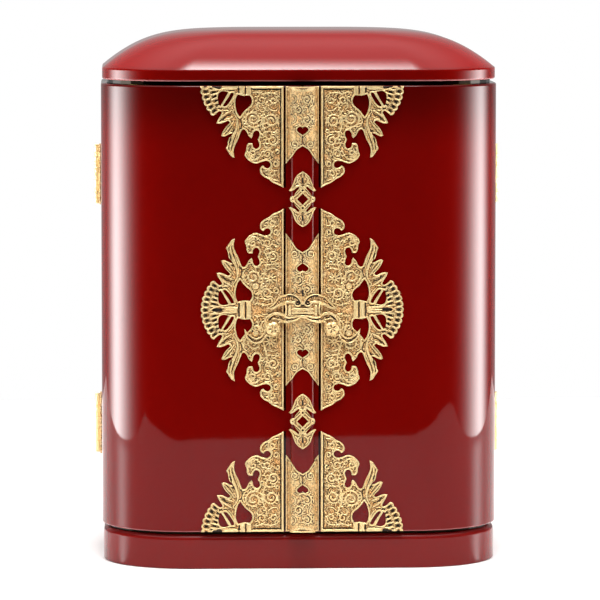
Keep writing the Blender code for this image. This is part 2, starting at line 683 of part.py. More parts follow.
def add_hinge(side, word, place, level, group, cutters, pivot):
    """A leaf on the door, and one on the shell that also holds the pin."""
    door_own = range(1, KNUCKLES, 2)
    shell_own = range(0, KNUCKLES, 2)
    ending = word + "_" + place
    door_leaf = add_hinge_leaf("hinge_door_" + ending, side, -1, door_own, level, group, cutters, pivot)
    shell_leaf = add_hinge_leaf("hinge_shell_" + ending, side, 1, shell_own, level, group, cutters, None)
    half = HINGE_HEIGHT / 2
    for obj, radius, reach, action in ((door_leaf, PIN_RADIUS + PIN_PLAY, half + CLEARANCE, "DIFFERENCE"),
                                       (shell_leaf, PIN_RADIUS, half - CLEARANCE, "UNION")):
        foot, head = level - reach, level + reach
        pin = turned([(0, foot), (radius, foot), (radius, head), (0, head)], ROUND_STEPS)
        pin.transform(Matrix.Translation((side * AXIS_X, HINGE_DEPTH, 0)))
        helper = add_cutter(obj.name + "_pin", pin, cutters)
        boolean = obj.modifiers.new(action.lower() + " pin", "BOOLEAN")
        boolean.operation = action
        boolean.object = helper


def add_hinges(group, cutters, pivots):
    for side, word in ((-1, "left"), (1, "right")):
        for place, level in (("upper", DOOR_HEAD - HINGE_FROM_DOOR_END - HINGE_HEIGHT / 2),
                             ("lower", DOOR_FOOT + HINGE_FROM_DOOR_END + HINGE_HEIGHT / 2)):
            add_hinge(side, word, place, level, group, cutters, pivots[side])


def add_pivots(group):
    """An empty on each door's hinge axis, which carries the door and everything on it."""
    pivots = {}
    for side, word in ((-1, "left"), (1, "right")):
        pivot = bpy.data.objects.new("pivot_" + word, None)
        pivot.location = (side * AXIS_X, HINGE_DEPTH, DOOR_FOOT)
        group.objects.link(pivot)
        pivots[side] = pivot
    bpy.context.view_layer.update()
    return pivots


def main():
    clear_scene()
    group = make_collection("miniature_buddhist_shrine")
    cutters = make_collection("cutters")
    pivots = add_pivots(group)
    add_base(group)
    add_roof(group)
    add_boards(group)
    add_shell(group)
    add_door(-1, "door_left", group, pivots[-1])
    add_door(1, "door_right", group, pivots[1])
    add_strip(group, pivots[1])
    add_caps(group, cutters, pivots[1])
    add_fittings(group, pivots)
    add_diamonds(group, pivots[1])
    add_clasp(group, pivots[1])
    add_hinges(group, cutters, pivots)


main()
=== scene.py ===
"""The looks of a lacquered miniature shrine with gilt openwork fittings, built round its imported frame."""
import math

import bpy
import numpy as np
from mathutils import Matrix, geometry


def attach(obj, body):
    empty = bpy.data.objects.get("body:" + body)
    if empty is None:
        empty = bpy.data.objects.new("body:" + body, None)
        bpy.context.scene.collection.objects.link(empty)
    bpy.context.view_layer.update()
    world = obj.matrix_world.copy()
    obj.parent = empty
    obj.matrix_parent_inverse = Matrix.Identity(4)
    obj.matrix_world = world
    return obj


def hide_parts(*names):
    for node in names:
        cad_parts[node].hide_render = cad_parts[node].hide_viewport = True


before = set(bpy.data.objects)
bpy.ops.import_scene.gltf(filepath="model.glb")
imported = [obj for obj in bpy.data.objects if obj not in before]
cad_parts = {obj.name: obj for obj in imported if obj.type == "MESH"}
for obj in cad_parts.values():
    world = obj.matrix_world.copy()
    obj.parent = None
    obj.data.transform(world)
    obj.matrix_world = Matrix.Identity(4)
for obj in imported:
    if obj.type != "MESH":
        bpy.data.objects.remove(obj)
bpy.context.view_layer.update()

# The camera, from the perspective of the photograph
CAMERA_PLACE = (-0.1142, -2.8726, 0.4116)
CAMERA_TURN = 2.3205
CAMERA_DIP = 4.921
FOCAL_PIXELS = 4413.5
FRAME_PIXELS = 600
SENSOR = 36

# Sizes in millimetres, with heights from the table up
MM = 0.001
HALF_WIDTH = 127.2
HALF_DEPTH = 89.0
CORNER = 56.0
WALL = 9.0
TRIM_INSET = 0.8
BASE_HEAD = 22.0
DOOR_FOOT = 23.7
DOOR_HEAD = 307.5
DOOR_MIDDLE = 165.6
ROOF_FOOT = 310.1
RIM_HEAD = 318.2
DOME_RISE = 23.56
DOME_FULLNESS = 5.7
DOME_EASE = 0.75
EDGE = 1.2
CLEARANCE = 0.3
FRONT = -HALF_DEPTH - CLEARANCE
AXIS_X = 129.6
STRIP_HALF = 7.4
STRIP_RISE = 6.0
STRIP_ROUNDING = 2.8
CAP_SHEET = 0.6
CAP_REACH = 10.5
SHEET = 1.4
HINGE_LEVELS = (("upper", 247.0), ("lower", 84.2))
HINGE_HALF = 19.3
HINGE_KNUCKLE = 2.1
GROUND = 0.8
CLASP_SHEET = 1.3
SEAM_HALF = 0.15
SEAM_POINTS = 11
HINGE_PIN = 0.9
HINGE_BORE = 1.15
HINGE_SPARE = 0.15
FITTING_HEAD = 307.2
FITTING_FOOT = 24.0
NOTCH_DEPTH = 11.7
HEART_DEPTH = 21.3
CAP_WEAR = 0.35
CAPS = (("cap_top", 257.9, 307.1, True, False), ("cap_middle", 116.9, 214.3, True, True),
        ("cap_bottom", 24.1, 73.3, False, True))
DIAMONDS = (("diamond_upper", 236.1), ("diamond_lower", 95.1))

# Flat geometry

def smooth_run(points, step):
    """A smooth line through the given points, sampled at a step, leaving out the last."""
    line = np.array(points, float)
    if len(line) == 2:
        count = max(int(np.linalg.norm(line[1] - line[0]) / step), 1)
        share = np.arange(count)[:, None] / count
        return line[0] + (line[1] - line[0]) * share
    line = np.vstack((2 * line[0] - line[1], line, 2 * line[-1] - line[-2]))
    found = []
    for before, start, end, after in zip(line, line[1:], line[2:], line[3:]):
        count = max(int(np.ceil(np.linalg.norm(end - start) / step)), 1)
        t = np.arange(count)[:, None] / count
        found.append(0.5 * (2 * start + (end - before) * t + (2 * before - 5 * start + 4 * end - after) * t * t
                            + (3 * start - before - 3 * end + after) * t * t * t))
    return np.vstack(found)

def join_runs(runs, step):
    return np.vstack([smooth_run(run, step) for run in runs])

def whole(run, step):
    return np.vstack((smooth_run(run, step), [run[-1]]))

def area(loop):
    x, y = loop[:, 0], loop[:, 1]
    return 0.5 * np.sum(x * np.roll(y, -1) - y * np.roll(x, -1))

def inside(points, loops):
    """Whether each point lies in the first loop and in none of the others."""
    odd = np.zeros(len(points), bool)
    for loop in loops:
        ax, ay = loop[:, 0], loop[:, 1]
        bx, by = np.roll(ax, -1), np.roll(ay, -1)
        for first in range(0, len(points), 6000):
            px, py = points[first:first + 6000, 0:1], points[first:first + 6000, 1:2]
            over = (ay > py) != (by > py)
            with np.errstate(divide="ignore", invalid="ignore"):
                cross = px < (bx - ax) * (py - ay) / (by - ay) + ax
            odd[first:first + 6000] ^= (np.sum(over & cross, axis=1) % 2).astype(bool)
    return odd

def segment_distance(points, starts, ends, widths=None):
    """Distance to the nearest segment, or with half widths to the nearest band, and that half width."""
    best = np.full(len(points), 1e9)
    nearest = np.ones(len(points))
    along = ends - starts
    length = np.maximum(np.sum(along * along, axis=1), 1e-12)
    for first in range(0, len(points), 2500):
        part = points[first:first + 2500]
        off_x = part[:, 0:1] - starts[None, :, 0]
        off_y = part[:, 1:2] - starts[None, :, 1]
        t = np.clip((off_x * along[:, 0] + off_y * along[:, 1]) / length, 0, 1)
        distance = np.hypot(off_x - t * along[:, 0], off_y - t * along[:, 1])
        if widths is None:
            best[first:first + 2500] = distance.min(axis=1)
            continue
        half = widths[0] + (widths[1] - widths[0]) * t
        gap = distance - half
        pick = gap.argmin(axis=1)
        rows = np.arange(len(part))
        best[first:first + 2500] = gap[rows, pick]
        nearest[first:first + 2500] = half[rows, pick]
    return best if widths is None else (best, nearest)

def edges_of(loops, keep=None):
    starts, ends = [], []
    for loop in loops:
        following = np.roll(loop, -1, axis=0)
        mask = np.ones(len(loop), bool) if keep is None else keep(loop, following)
        starts.append(loop[mask])
        ends.append(following[mask])
    return np.vstack(starts), np.vstack(ends)

def rings_inside(loops, distances):
    """Points at set distances inside the edges, fanned round corners that point inward."""
    found = []
    for number, loop in enumerate(loops):
        way = 1 if (area(loop) > 0) == (number == 0) else -1
        before = loop - np.roll(loop, 1, axis=0)
        after = np.roll(loop, -1, axis=0) - loop
        turn_in = np.arctan2(before[:, 1], before[:, 0])
        turn_out = np.arctan2(after[:, 1], after[:, 0])
        bend = (turn_out - turn_in + math.pi) % (2 * math.pi) - math.pi
        for spot, first, angle in zip(loop, turn_in, bend):
            closing = angle * way
            if closing < -0.35:
                count = int(np.ceil(-closing / 0.3))
                directions = [(first + angle * k / count, 1.0) for k in range(count + 1)]
            else:
                directions = [(first + angle / 2, 1 / max(math.cos(angle / 2), 0.25))]
            for direction, stretch in directions:
                normal = direction + way * math.pi / 2
                for distance in distances:
                    reach = distance * stretch
                    found.append((spot[0] + reach * math.cos(normal), spot[1] + reach * math.sin(normal),
                                  distance))
    return np.array(found)

def thin_out(points, spacing):
    """Leaves out points that crowd earlier ones."""
    cells, kept = {}, []
    for index, (x, y) in enumerate(points):
        cell = (int(x // spacing), int(y // spacing))
        near = [other for i in (-1, 0, 1) for j in (-1, 0, 1)
                for other in cells.get((cell[0] + i, cell[1] + j), ())]
        if all((x - u) ** 2 + (y - v) ** 2 >= spacing * spacing for u, v in near):
            cells.setdefault(cell, []).append((x, y))
            kept.append(index)
    return kept

def fill(loops, spacing, distances, extra):
    """Triangles over a region with openings: points, faces and each point's distance from the edges."""
    outline = np.vstack(loops)
    starts, ends = edges_of(loops)
    low, high = outline.min(0), outline.max(0)
    rings = rings_inside(loops, distances)
    true = segment_distance(rings[:, :2], starts, ends)
    good = (true > 0.93 * rings[:, 2]) & inside(rings[:, :2], loops)
    extra = extra[inside(extra, loops)]
    inner = [rings[good][:, :2], extra[segment_distance(extra, starts, ends) > 0.3 * spacing]]
    rows = np.arange(low[1], high[1], spacing * 0.866)
    grid = np.array([(x + (row % 2) * spacing / 2, y) for row, y in enumerate(rows)
                     for x in np.arange(low[0], high[0], spacing)])
    grid = grid[inside(grid, loops)]
    reach = max(distances) + 0.55 * spacing
    inner.append(grid[segment_distance(grid, starts, ends) > reach])
    inner = np.vstack(inner)
    inner = inner[thin_out(inner, 0.42 * spacing)]
    points = np.vstack((outline, inner))
    edges, base = [], 0
    for loop in loops:
        edges += [(base + i, base + (i + 1) % len(loop)) for i in range(len(loop))]
        base += len(loop)
    found, _, faces, _, _, _ = geometry.delaunay_2d_cdt([tuple(p) for p in points], edges, [], 0, 1e-7)
    found = np.array([tuple(p) for p in found])
    faces = np.array(faces)
    centres = found[faces].mean(axis=1)
    faces = faces[inside(centres, loops)]
    corner = found[faces]
    turn = np.cross(corner[:, 1] - corner[:, 0], corner[:, 2] - corner[:, 0])
    faces[turn < 0] = faces[turn < 0][:, ::-1]
    faces = faces[np.abs(turn) > 1e-9]
    return found, faces, segment_distance(found, starts, ends)

def boundary(faces):
    """The edges with one face only, each in the direction in which its face runs."""
    pairs = np.vstack((faces[:, (0, 1)], faces[:, (1, 2)], faces[:, (2, 0)]))
    code = pairs[:, 0].astype(np.int64) * 10 ** 7 + pairs[:, 1]
    back = pairs[:, 1].astype(np.int64) * 10 ** 7 + pairs[:, 0]
    return pairs[~np.isin(code, back)]

# Objects

def make_object(name, points, faces, materials, body=None, replaces=(), tones=None, picks=None,
                sharp=None):
    mesh = bpy.data.meshes.new(name)
    mesh.from_pydata([tuple(point) for point in np.asarray(points) * MM], [],
                     [tuple(int(i) for i in face) for face in faces])
    for material in materials:
        mesh.materials.append(material)
    mesh.shade_smooth()
    if tones is not None:
        layer = mesh.attributes.new("relief", "FLOAT", "POINT")
        layer.data.foreach_set("value", np.asarray(tones, np.float32))
    if picks is not None:
        mesh.polygons.foreach_set("material_index", picks)
    if sharp is not None:
        mesh.set_sharp_from_angle(angle=math.radians(sharp))
    obj = bpy.data.objects.new(name, mesh)
    bpy.context.scene.collection.objects.link(obj)
    if body is not None:
        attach(obj, body)
    if replaces:
        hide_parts(*replaces)
    return obj

def loft(rings, caps=True):
    """Faces between rings of equally many points, and over the first and last ring."""
    count = len(rings[0])
    faces = []
    for level in range(len(rings) - 1):
        base = level * count
        for i in range(count):
            j = (i + 1) % count
            faces.append((base + i, base + j, base + count + j, base + count + i))
    if caps:
        faces.append(tuple(reversed(range(count))))
        faces.append(tuple(range((len(rings) - 1) * count, len(rings) * count)))
    return np.vstack(rings), faces

def case_plan(inset, share=1.0, steps=30):
    """The case seen from above, counter-clockwise from the front right corner."""
    radius = CORNER - inset
    points = []
    for quarter, (x, y) in enumerate(((1, -1), (1, 1), (-1, 1), (-1, -1))):
        for step in range(steps + 1):
            turn = math.radians(-90 + 90 * quarter + 90 * step / steps)
            points.append((share * (x * (HALF_WIDTH - CORNER) + radius * math.cos(turn)),
                           share * (y * (HALF_DEPTH - CORNER) + radius * math.sin(turn))))
    return np.array(points)

def at_level(outline, level):
    return np.column_stack((outline, np.full(len(outline), level)))

def rounded_levels(low, high, foot, head, steps=7):
    """(inset, level) pairs of a solid's side with two rounded edges; a close ring keeps the side flat."""
    pairs = []
    for step in range(steps + 1):
        turn = math.pi / 2 * step / steps
        pairs.append((foot * (1 - math.sin(turn)), low + foot * (1 - math.cos(turn))))
    pairs += [(0, low + foot + 0.12), (0, high - head - 0.12)]
    for step in range(steps + 1):
        turn = math.pi / 2 * step / steps
        pairs.append((head * (1 - math.cos(turn)), high - head * (1 - math.sin(turn))))
    return pairs

def make_base(red):
    pairs = rounded_levels(0, BASE_HEAD, 1.0, 3.5)
    rings = [at_level(case_plan(TRIM_INSET + 3), 0)]
    rings += [at_level(case_plan(TRIM_INSET + inset), level) for inset, level in pairs]
    rings += [at_level(case_plan(TRIM_INSET + 5), BASE_HEAD)]
    points, faces = loft(rings)
    make_object("base_lacquered", points, faces, [red], "case", ("base",))

def dome_rise(share):
    """How high the dome stands at a share of its plan: steepest at the rim, then rounding over to its top."""
    full = np.clip(1 - share ** DOME_FULLNESS, 0, None) ** (1 / DOME_EASE)
    join, lift = 0.93, 0.285
    joined = (1 - join ** DOME_FULLNESS) ** (1 / DOME_EASE)
    edge = (1 - share) / (1 - join)
    inner = lift + (full - joined) * (1 - lift) / (1 - joined)
    return np.where(share > join, lift * edge * (1.1 - 0.1 * edge), inner)

def make_roof(red):
    rings = [at_level(case_plan(TRIM_INSET + 4), ROOF_FOOT)]
    levels = rounded_levels(ROOF_FOOT, RIM_HEAD, 1.2, 1.6, 8)
    rings += [at_level(case_plan(TRIM_INSET + inset), level) for inset, level in levels[:-4]]
    inset, level = levels[-5]
    start = 1 - inset / HALF_DEPTH
    shares = start * np.concatenate((1 - 0.002 * np.arange(1, 36), np.linspace(0.928, 0.05, 60)))
    for share, rise in zip(shares, dome_rise(shares / start)):
        rings.append(at_level(case_plan(TRIM_INSET, share), level + (RIM_HEAD + DOME_RISE - level) * rise))
    points, faces = loft(rings)
    make_object("roof_lacquered", points, faces, [red], "case", ("roof",), sharp=40)

def wall_plan(path, normals, inset, steps=4):
    """A bent wall's outline from above, its corners rounded: outer line, end, inner line, end."""
    first = path[1] - path[0]
    last = path[-1] - path[-2]
    first, last = first / np.linalg.norm(first), last / np.linalg.norm(last)
    radius = max(EDGE - inset, 0.02)

    def end(centre_outer, centre_inner, ahead, out):
        turns = [math.pi / 2 * k / steps for k in range(steps + 1)]
        outer = [centre_outer + radius * (out * math.cos(t) + ahead * math.sin(t)) for t in turns]
        inner = [centre_inner + radius * (ahead * math.cos(t) - out * math.sin(t)) for t in turns]
        return outer, inner

    hold = inset + radius
    outer_line = path[1:-1] - normals[1:-1] * inset
    inner_line = path[1:-1] - normals[1:-1] * (WALL - inset)
    begin_outer = path[0] + first * hold - normals[0] * hold
    begin_inner = path[0] + first * hold - normals[0] * (WALL - hold)
    end_outer = path[-1] - last * hold - normals[-1] * hold
    end_inner = path[-1] - last * hold - normals[-1] * (WALL - hold)
    far_out, far_in = end(end_outer, end_inner, last, normals[-1])
    near_out, near_in = end(begin_outer, begin_inner, -first, normals[0])
    outline = list(outer_line) + far_out + far_in + list(inner_line[::-1]) + near_in[::-1] + near_out[::-1]
    return np.array(outline), len(outer_line), steps

def make_wall(name, path, normals, materials, body, stands_for):
    """A bent wall with rounded edges: lacquer outside, leaf on the face towards the room."""
    rings = []
    for inset, level in rounded_levels(DOOR_FOOT, DOOR_HEAD, EDGE, EDGE, 4):
        outline, count, steps = wall_plan(path, normals, inset)
        rings.append(at_level(outline, level))
    points, faces = loft(rings, caps=False)
    size = len(rings[0])
    inner_from = count + 2 * (steps + 1)
    inner_to = inner_from + count
    lid = [(i, i + 1, inner_to - 2 - i, inner_to - 1 - i) for i in range(count - 1)]
    lid += [tuple(range(count - 1, inner_from + 1)), tuple(range(inner_to - 1, size)) + (0,)]
    head = (len(rings) - 1) * size
    faces += [face[::-1] for face in lid] + [tuple(head + i for i in face) for face in lid]
    picks = []
    for face in faces:
        local = [i % size for i in face]
        level = points[list(face), 2]
        gilt = all(inner_from - 2 <= i <= inner_to + 1 for i in local) and level.max() - level.min() > 2
        picks.append(int(gilt))
    make_object(name, points, faces, materials, body, (stands_for,), picks=picks, sharp=50)

def arc_path(side):
    """The outer line of the front half on one side, from the seam round the corner to the hinge line."""
    points, normals = [], []
    for x in np.linspace(SEAM_HALF, HALF_WIDTH - CORNER, SEAM_POINTS + 1)[:-1]:
        points.append((x, -HALF_DEPTH))
        normals.append((0, -1))
    for step in range(41):
        turn = math.radians(-90 + 90 * step / 40)
        points.append((HALF_WIDTH - CORNER + CORNER * math.cos(turn),
                       CORNER - HALF_DEPTH + CORNER * math.sin(turn)))
        normals.append((math.cos(turn), math.sin(turn)))
    for y in np.linspace(CORNER - HALF_DEPTH, -CLEARANCE, 6)[1:]:
        points.append((HALF_WIDTH, y))
        normals.append((1, 0))
    points, normals = np.array(points), np.array(normals)
    points[:, 0] *= side
    normals[:, 0] *= side
    return points, normals

def make_walls(red, leaf):
    for side, word in ((1, "right"), (-1, "left")):
        path, normals = arc_path(side)
        if side < 0:
            path, normals = path[::-1], normals[::-1]
        make_wall("door_" + word + "_lacquered", path, normals, [red, leaf], word + "_leaf", "door_" + word)
    # the shell follows the same line turned to the back, without its points up to the seam
    half = [line[::-1][:-SEAM_POINTS] * (1, -1) for line in arc_path(1)]
    path, normals = (np.vstack((line, line[::-1] * (-1, 1))) for line in half)
    make_wall("shell_lacquered", path, normals, [red, leaf], "case", "back_shell")

def strip_section(grow, steps=12):
    """The strip's outer line from its right foot over the top to its left: (across, out from the door)."""
    reach, rise, radius = STRIP_HALF + grow, STRIP_RISE + grow, STRIP_ROUNDING + grow
    half = [(reach, 0.0)]
    for step in range(steps + 1):
        turn = math.pi / 2 * step / steps
        half.append((reach - radius * (1 - math.cos(turn)), rise - radius * (1 - math.sin(turn))))
    half.append((reach - radius - 1, rise))
    return np.array(half + [(-x, y) for x, y in reversed(half)])

def make_strip(red):
    line = strip_section(0)
    rings = []
    foot, head = DOOR_FOOT + 0.4, DOOR_HEAD - 0.4
    for inset, level in rounded_levels(foot, head, 0.4, 0.4, 3):
        shrunk = strip_section(-inset)
        rings.append(np.column_stack((shrunk[:, 0], FRONT - shrunk[:, 1], np.full(len(line), level))))
    points, faces = loft(rings)
    faces = [tuple(reversed(face)) for face in faces]
    make_object("strip_lacquered", points, faces, [red], "right_leaf", ("seam_strip",), sharp=50)

# The outlines of the gilt work, in millimetres across from the seam and up from each piece's middle line

QUARTER_RUNS = (
    ((11.8, 0), (11.8, 64.2)),
    ((11.8, 64.2), (15, 62.4), (18.6, 60.8), (21.5, 58.6), (24.4, 57.1), (26.3, 55.2), (26.8, 53),
     (26.2, 51.2), (24.8, 50.1)),
    ((24.8, 50.1), (23.5, 51.4), (21.7, 51.8), (20.3, 50.8), (20, 49.2), (20.9, 47.8), (22.7, 47.1),
     (25, 47.5), (29, 48.8), (32, 48), (34.4, 46.3), (36.3, 43.6), (35.4, 40.6), (35.1, 37.9), (33.9, 36.1),
     (31.5, 36)),
    ((31.5, 36), (31.2, 37.8), (30.2, 39.2), (28.7, 39.5), (27.4, 38.4), (27.1, 36.6), (28.2, 33.6)),
    ((28.2, 33.6), (27.2, 31.6), (26.9, 29.8), (27.6, 28.4), (29, 27.9), (30.5, 28.7), (31.3, 30.3),
     (31.4, 31.6), (32.2, 32.9)),
    ((32.2, 32.9), (34, 31.1), (35.3, 28.6), (36.4, 27.4), (37.4, 27.2), (38.3, 27.7), (39, 29.4),
     (40.5, 33.4), (42.1, 36.6), (43.2, 39.4), (43.3, 42), (42.8, 45.3)),
    ((42.8, 45.3), (44.8, 44.2), (46.6, 41.6), (48.2, 39.2)),
    ((48.2, 39.2), (47.3, 37.2), (46.9, 35), (46.2, 32.8), (44.9, 31.3), (44, 30.2), (45.3, 29.9),
     (47.5, 30.9), (49.6, 31.7), (51.2, 31.2)),
    ((51.2, 31.2), (50.1, 28.6), (48.4, 26), (46.6, 24.2), (45.7, 22.8), (46.9, 21.8), (49, 22.6),
     (51.4, 23.5), (54.2, 23.4)),
    ((54.2, 23.4), (53.2, 21), (51.8, 18.8), (50.8, 16.8), (51.4, 15.8), (52.6, 15.8), (54.4, 17.2),
     (56.4, 18.9)),
)
TEARDROP_RUNS = (
    ((40.8, 5.1), (37.2, 5.9), (33.2, 5.7)),
    ((33.2, 5.7), (31.8, 8.2), (32.1, 11.2), (33.8, 13.3), (36.2, 15.3), (39.4, 19.4)),
    ((39.4, 19.4), (41, 17), (42, 13.5), (42.3, 10), (41.8, 7.2), (40.8, 5.1)),
)
SLOT_RUNS = (
    ((43.3, 4.3), (43.6, 6.1), (45.8, 9.9), (48, 12.4), (49.4, 12.9)),
    ((49.4, 12.9), (50.1, 12.3), (48.9, 10.2), (46.3, 6.4), (45, 4.2), (43.3, 4.3)),
)
WEDGE_RUNS = (
    ((46.6, 3.6), (48.4, 6.9), (50.0, 9.8), (51.7, 12.5)),
    ((51.7, 12.5), (52.8, 11.2), (53.3, 7.2), (52.6, 4.3), (50.2, 3), (46.6, 3.6)),
)
FAN_CENTRE, FAN_RADIUS, FAN_ANGLE, FAN_PITCH = 37.1, 26.0, 43.8, 8.1
DIAMOND_RUNS = (
    ((0, 17.6), (2.7, 15.9), (4.7, 13.5), (5.9, 10.5), (7, 7.7), (8.7, 5.4)),
    ((8.7, 5.4), (7.2, 5.1), (5, 6.3), (2.6, 8.2)),
    ((2.6, 8.2), (2.1, 6.9)),
    ((2.1, 6.9), (3.6, 5.2), (4.8, 3.7), (5.5, 2)),
    ((5.5, 2), (6.6, 1.9), (7.6, 1.3), (8, 0)),
)

CLASP_RUNS = (
    ((0, 4.4), (1.2, 6.4), (3.2, 8.4), (6, 9.7), (9.4, 9.9), (13, 8.7), (16.2, 6.2), (18.8, 3.2),
     (22.4, 0.2)),
    ((22.4, 0.2), (18.6, -0.1), (14.6, 1.5), (11.2, 3)),
    ((11.2, 3), (10.9, 0), (11.2, -2.8)),
    ((11.2, -2.8), (14.3, -2.3), (17.4, -1.9), (20.6, -3.4), (23.6, -5.6), (24, -8.6), (23.4, -11)),
    ((23.4, -11), (24.8, -15.6), (28.9, -18.5), (33.2, -16.4), (36.8, -12.6)),
    ((36.8, -12.6), (35.8, -17.4), (32.8, -20.9), (29, -22.2), (25.4, -20.7), (22.9, -17.2)),
    ((22.9, -17.2), (19.4, -17.6), (15.6, -16.4), (13.8, -13), (14.4, -8.7)),
    ((14.4, -8.7), (11, -8.5), (7.5, -8.1), (4.2, -7), (1.8, -5.6), (0, -5)),
)
CLASP_FLOWER = (18.7, -12.5)
CLASP_LIFT = 0.7
HINGE_RUNS = (
    ((9.9, 19.3), (11.7, 17.7), (12, 15)),
    ((12, 15), (10.9, 12.6), (11.1, 9.7)),
    ((11.1, 9.7), (12.9, 8.3), (13.8, 5.8)),
    ((13.8, 5.8), (14.2, 2.6), (15, 0)),
)
NOTCH_HALF = ((1, 0), (0.86, 0.15), (0.62, 0.44), (0.42, 0.73), (0.3, 0.85), (0, 1))
HEART_HALF = ((0, -1), (0.62, -0.42), (1, 0.16), (0.88, 0.72), (0.46, 1), (0.12, 0.82), (0, 0.52))

FINE = 0.38
RIM_RINGS = (0.14, 0.34, 0.62, 0.95, 1.25, 1.5, 1.8)

# Engraver's work: raised strokes, sunk lines and punched pits

def curl(x, y, outer, inner, start, turns, steps=26):
    """A spiral from its outside to its eye."""
    share = np.linspace(0, 1, steps)
    radius = outer + (inner - outer) * share ** 0.85
    angle = math.radians(start) + 2 * math.pi * turns * share
    return np.column_stack((x + radius * np.cos(angle), y + radius * np.sin(angle)))

def ring(x, y, radius, steps=20):
    return curl(x, y, radius, radius, 0, 1, steps + 1)

class Work:
    """The strokes of one piece: polylines with a half width at each point."""

    def __init__(self):
        self.raised, self.sunk, self.pits, self.domes = [], [], [], []

    def draw(self, points, wide, taper=(0.55, 1, 0.6), smooth=True, sunk=False, step=0.55):
        points = [tuple(point) for point in points]
        line = whole(points, step) if smooth or len(points) == 2 else np.array(points, float)
        share = np.linspace(0, 1, len(line))
        widths = wide * np.interp(share, (0, 0.4, 1), taper)
        (self.sunk if sunk else self.raised).append((line, widths))

    def sink(self, points, wide):
        self.draw(points, wide, (1, 1, 1), sunk=True)

    def pit(self, x, y, radius):
        self.pits.append((x, y, radius))

    def dome(self, x, y, radius):
        self.domes.append((x, y, radius))

    def mirror(self, way=(-1, 1)):
        """Adds the mirror image of all work about the upright middle line, or with (1, -1) the level one."""
        for kept in (self.raised, self.sunk):
            kept += [(line * way, widths) for line, widths in kept]
        for kept in (self.pits, self.domes):
            kept += [(x * way[0], y * way[1], radius) for x, y, radius in kept
                     if (x, y) != (x * way[0], y * way[1])]
        return self

    def guides(self):
        """Points that let the mesh follow the strokes."""
        found = []
        for line, widths in self.raised + self.sunk:
            tangent = np.gradient(line, axis=0)
            tangent /= np.maximum(np.linalg.norm(tangent, axis=1), 1e-9)[:, None]
            normal = np.column_stack((-tangent[:, 1], tangent[:, 0]))
            for offset in (0, 0.72, 1):
                for side in ((-1, 1) if offset else (1,)):
                    found.append(line + normal * (side * offset * widths)[:, None])
            for side in (-1, 1):
                found.append(line + normal * (side * (widths + 0.2))[:, None])
        for x, y, radius in self.pits:
            found.append(ring(x, y, radius, 10)[:-1])
            found.append(ring(x, y, radius * 0.55, 6)[:-1])
            found.append(np.array([(x, y)]))
        for x, y, radius in self.domes:
            for share, steps in ((1.08, 26), (1, 26), (0.8, 20), (0.55, 14), (0.3, 8)):
                found.append(ring(x, y, radius * share, steps)[:-1])
        return np.vstack(found) if found else np.zeros((0, 2))

    def carve(self, points, heights, top, ground, groove, pit_floor):
        """Raises strokes and domes, then sinks lines and pits; gives the heights and the tones, rubbed bright
        on tops and, below zero, painted shade in the recesses.
        """
        heights = heights.copy()
        if self.raised:
            starts = np.vstack([line[:-1] for line, _ in self.raised])
            ends = np.vstack([line[1:] for line, _ in self.raised])
            widths = [np.concatenate([part[span] for _, part in self.raised])
                      for span in (slice(-1), slice(1, None))]
            gap, half = segment_distance(points, starts, ends, widths)
            share = np.clip(1 + gap / half, 0, 1)
            body = ground + (top - ground) * (0.25 + 0.75 * np.sqrt(np.clip(1 - share ** 2, 0, 1)))
            heights = np.where(gap < 0, np.maximum(heights, body), heights)
            line = (gap >= 0) & (gap < 0.5) & (heights < ground + 0.5 * (top - ground))
            sink = groove * np.sin(math.pi * np.clip(gap / 0.5, 0, 1))
            heights = np.where(line, heights - sink, heights)
        for x, y, radius in self.domes:
            share = np.hypot(points[:, 0] - x, points[:, 1] - y) / radius
            body = ground + (top - ground) * np.sqrt(np.clip(1 - share ** 2, 0, 1))
            heights = np.where(share < 1, body, heights)
            heights = np.where((share >= 1) & (share < 1.2), np.minimum(heights, ground - 0.7 * groove),
                               heights)
        # tones below zero mark painted shade: the gilding paints grooves, sunk lines, pits and the rings round
        # domes near black
        tones = np.clip((heights - ground) / (top - ground), -1, 1)
        for line, widths in self.sunk:
            gap, half = segment_distance(points, line[:-1], line[1:], (widths[:-1], widths[1:]))
            deep = np.sqrt(np.clip(1 - np.clip(1 + gap / half, 0, 1) ** 2, 0, 1))
            heights = np.where(gap < 0, np.maximum(heights - 2.6 * groove * deep, pit_floor), heights)
            tones = np.where(gap < 0.1, np.minimum(tones, 0.4 - 1.4 * deep), tones)
        for x, y, radius in self.pits:
            share = np.clip(np.hypot(points[:, 0] - x, points[:, 1] - y) / radius, 0, 1)
            heights = np.where(share < 1, pit_floor + (heights - pit_floor) * share ** 6, heights)
            tones = np.where(share < 1, np.minimum(tones, 0.3 - 1.3 * (1 - share ** 3)), tones)
        return heights, tones

def foliage(work, line, wide, every=1.9, side=1, length=1.7):
    """Small pointed leaves along a stroke, swept forward."""
    steps = np.linalg.norm(np.diff(line, axis=0), axis=1)
    run = np.concatenate(([0], np.cumsum(steps)))
    place = every * 0.7
    while place < run[-1] - 0.5:
        x, y = np.interp(place, run, line[:, 0]), np.interp(place, run, line[:, 1])
        ahead_x, ahead_y = (np.interp(place + 0.2, run, line[:, axis]) - (x, y)[axis] for axis in (0, 1))
        scale = math.hypot(ahead_x, ahead_y) or 1
        ahead = np.array((ahead_x, ahead_y)) / scale
        out = side * np.array((ahead[1], -ahead[0]))
        foot = np.array((x, y)) + out * wide * 0.8
        work.draw([foot, foot + out * length * 0.55 + ahead * length * 0.15,
                   foot + out * length + ahead * length * 0.7],
                  0.36, (1, 0.85, 0.25), step=0.35)
        place += every

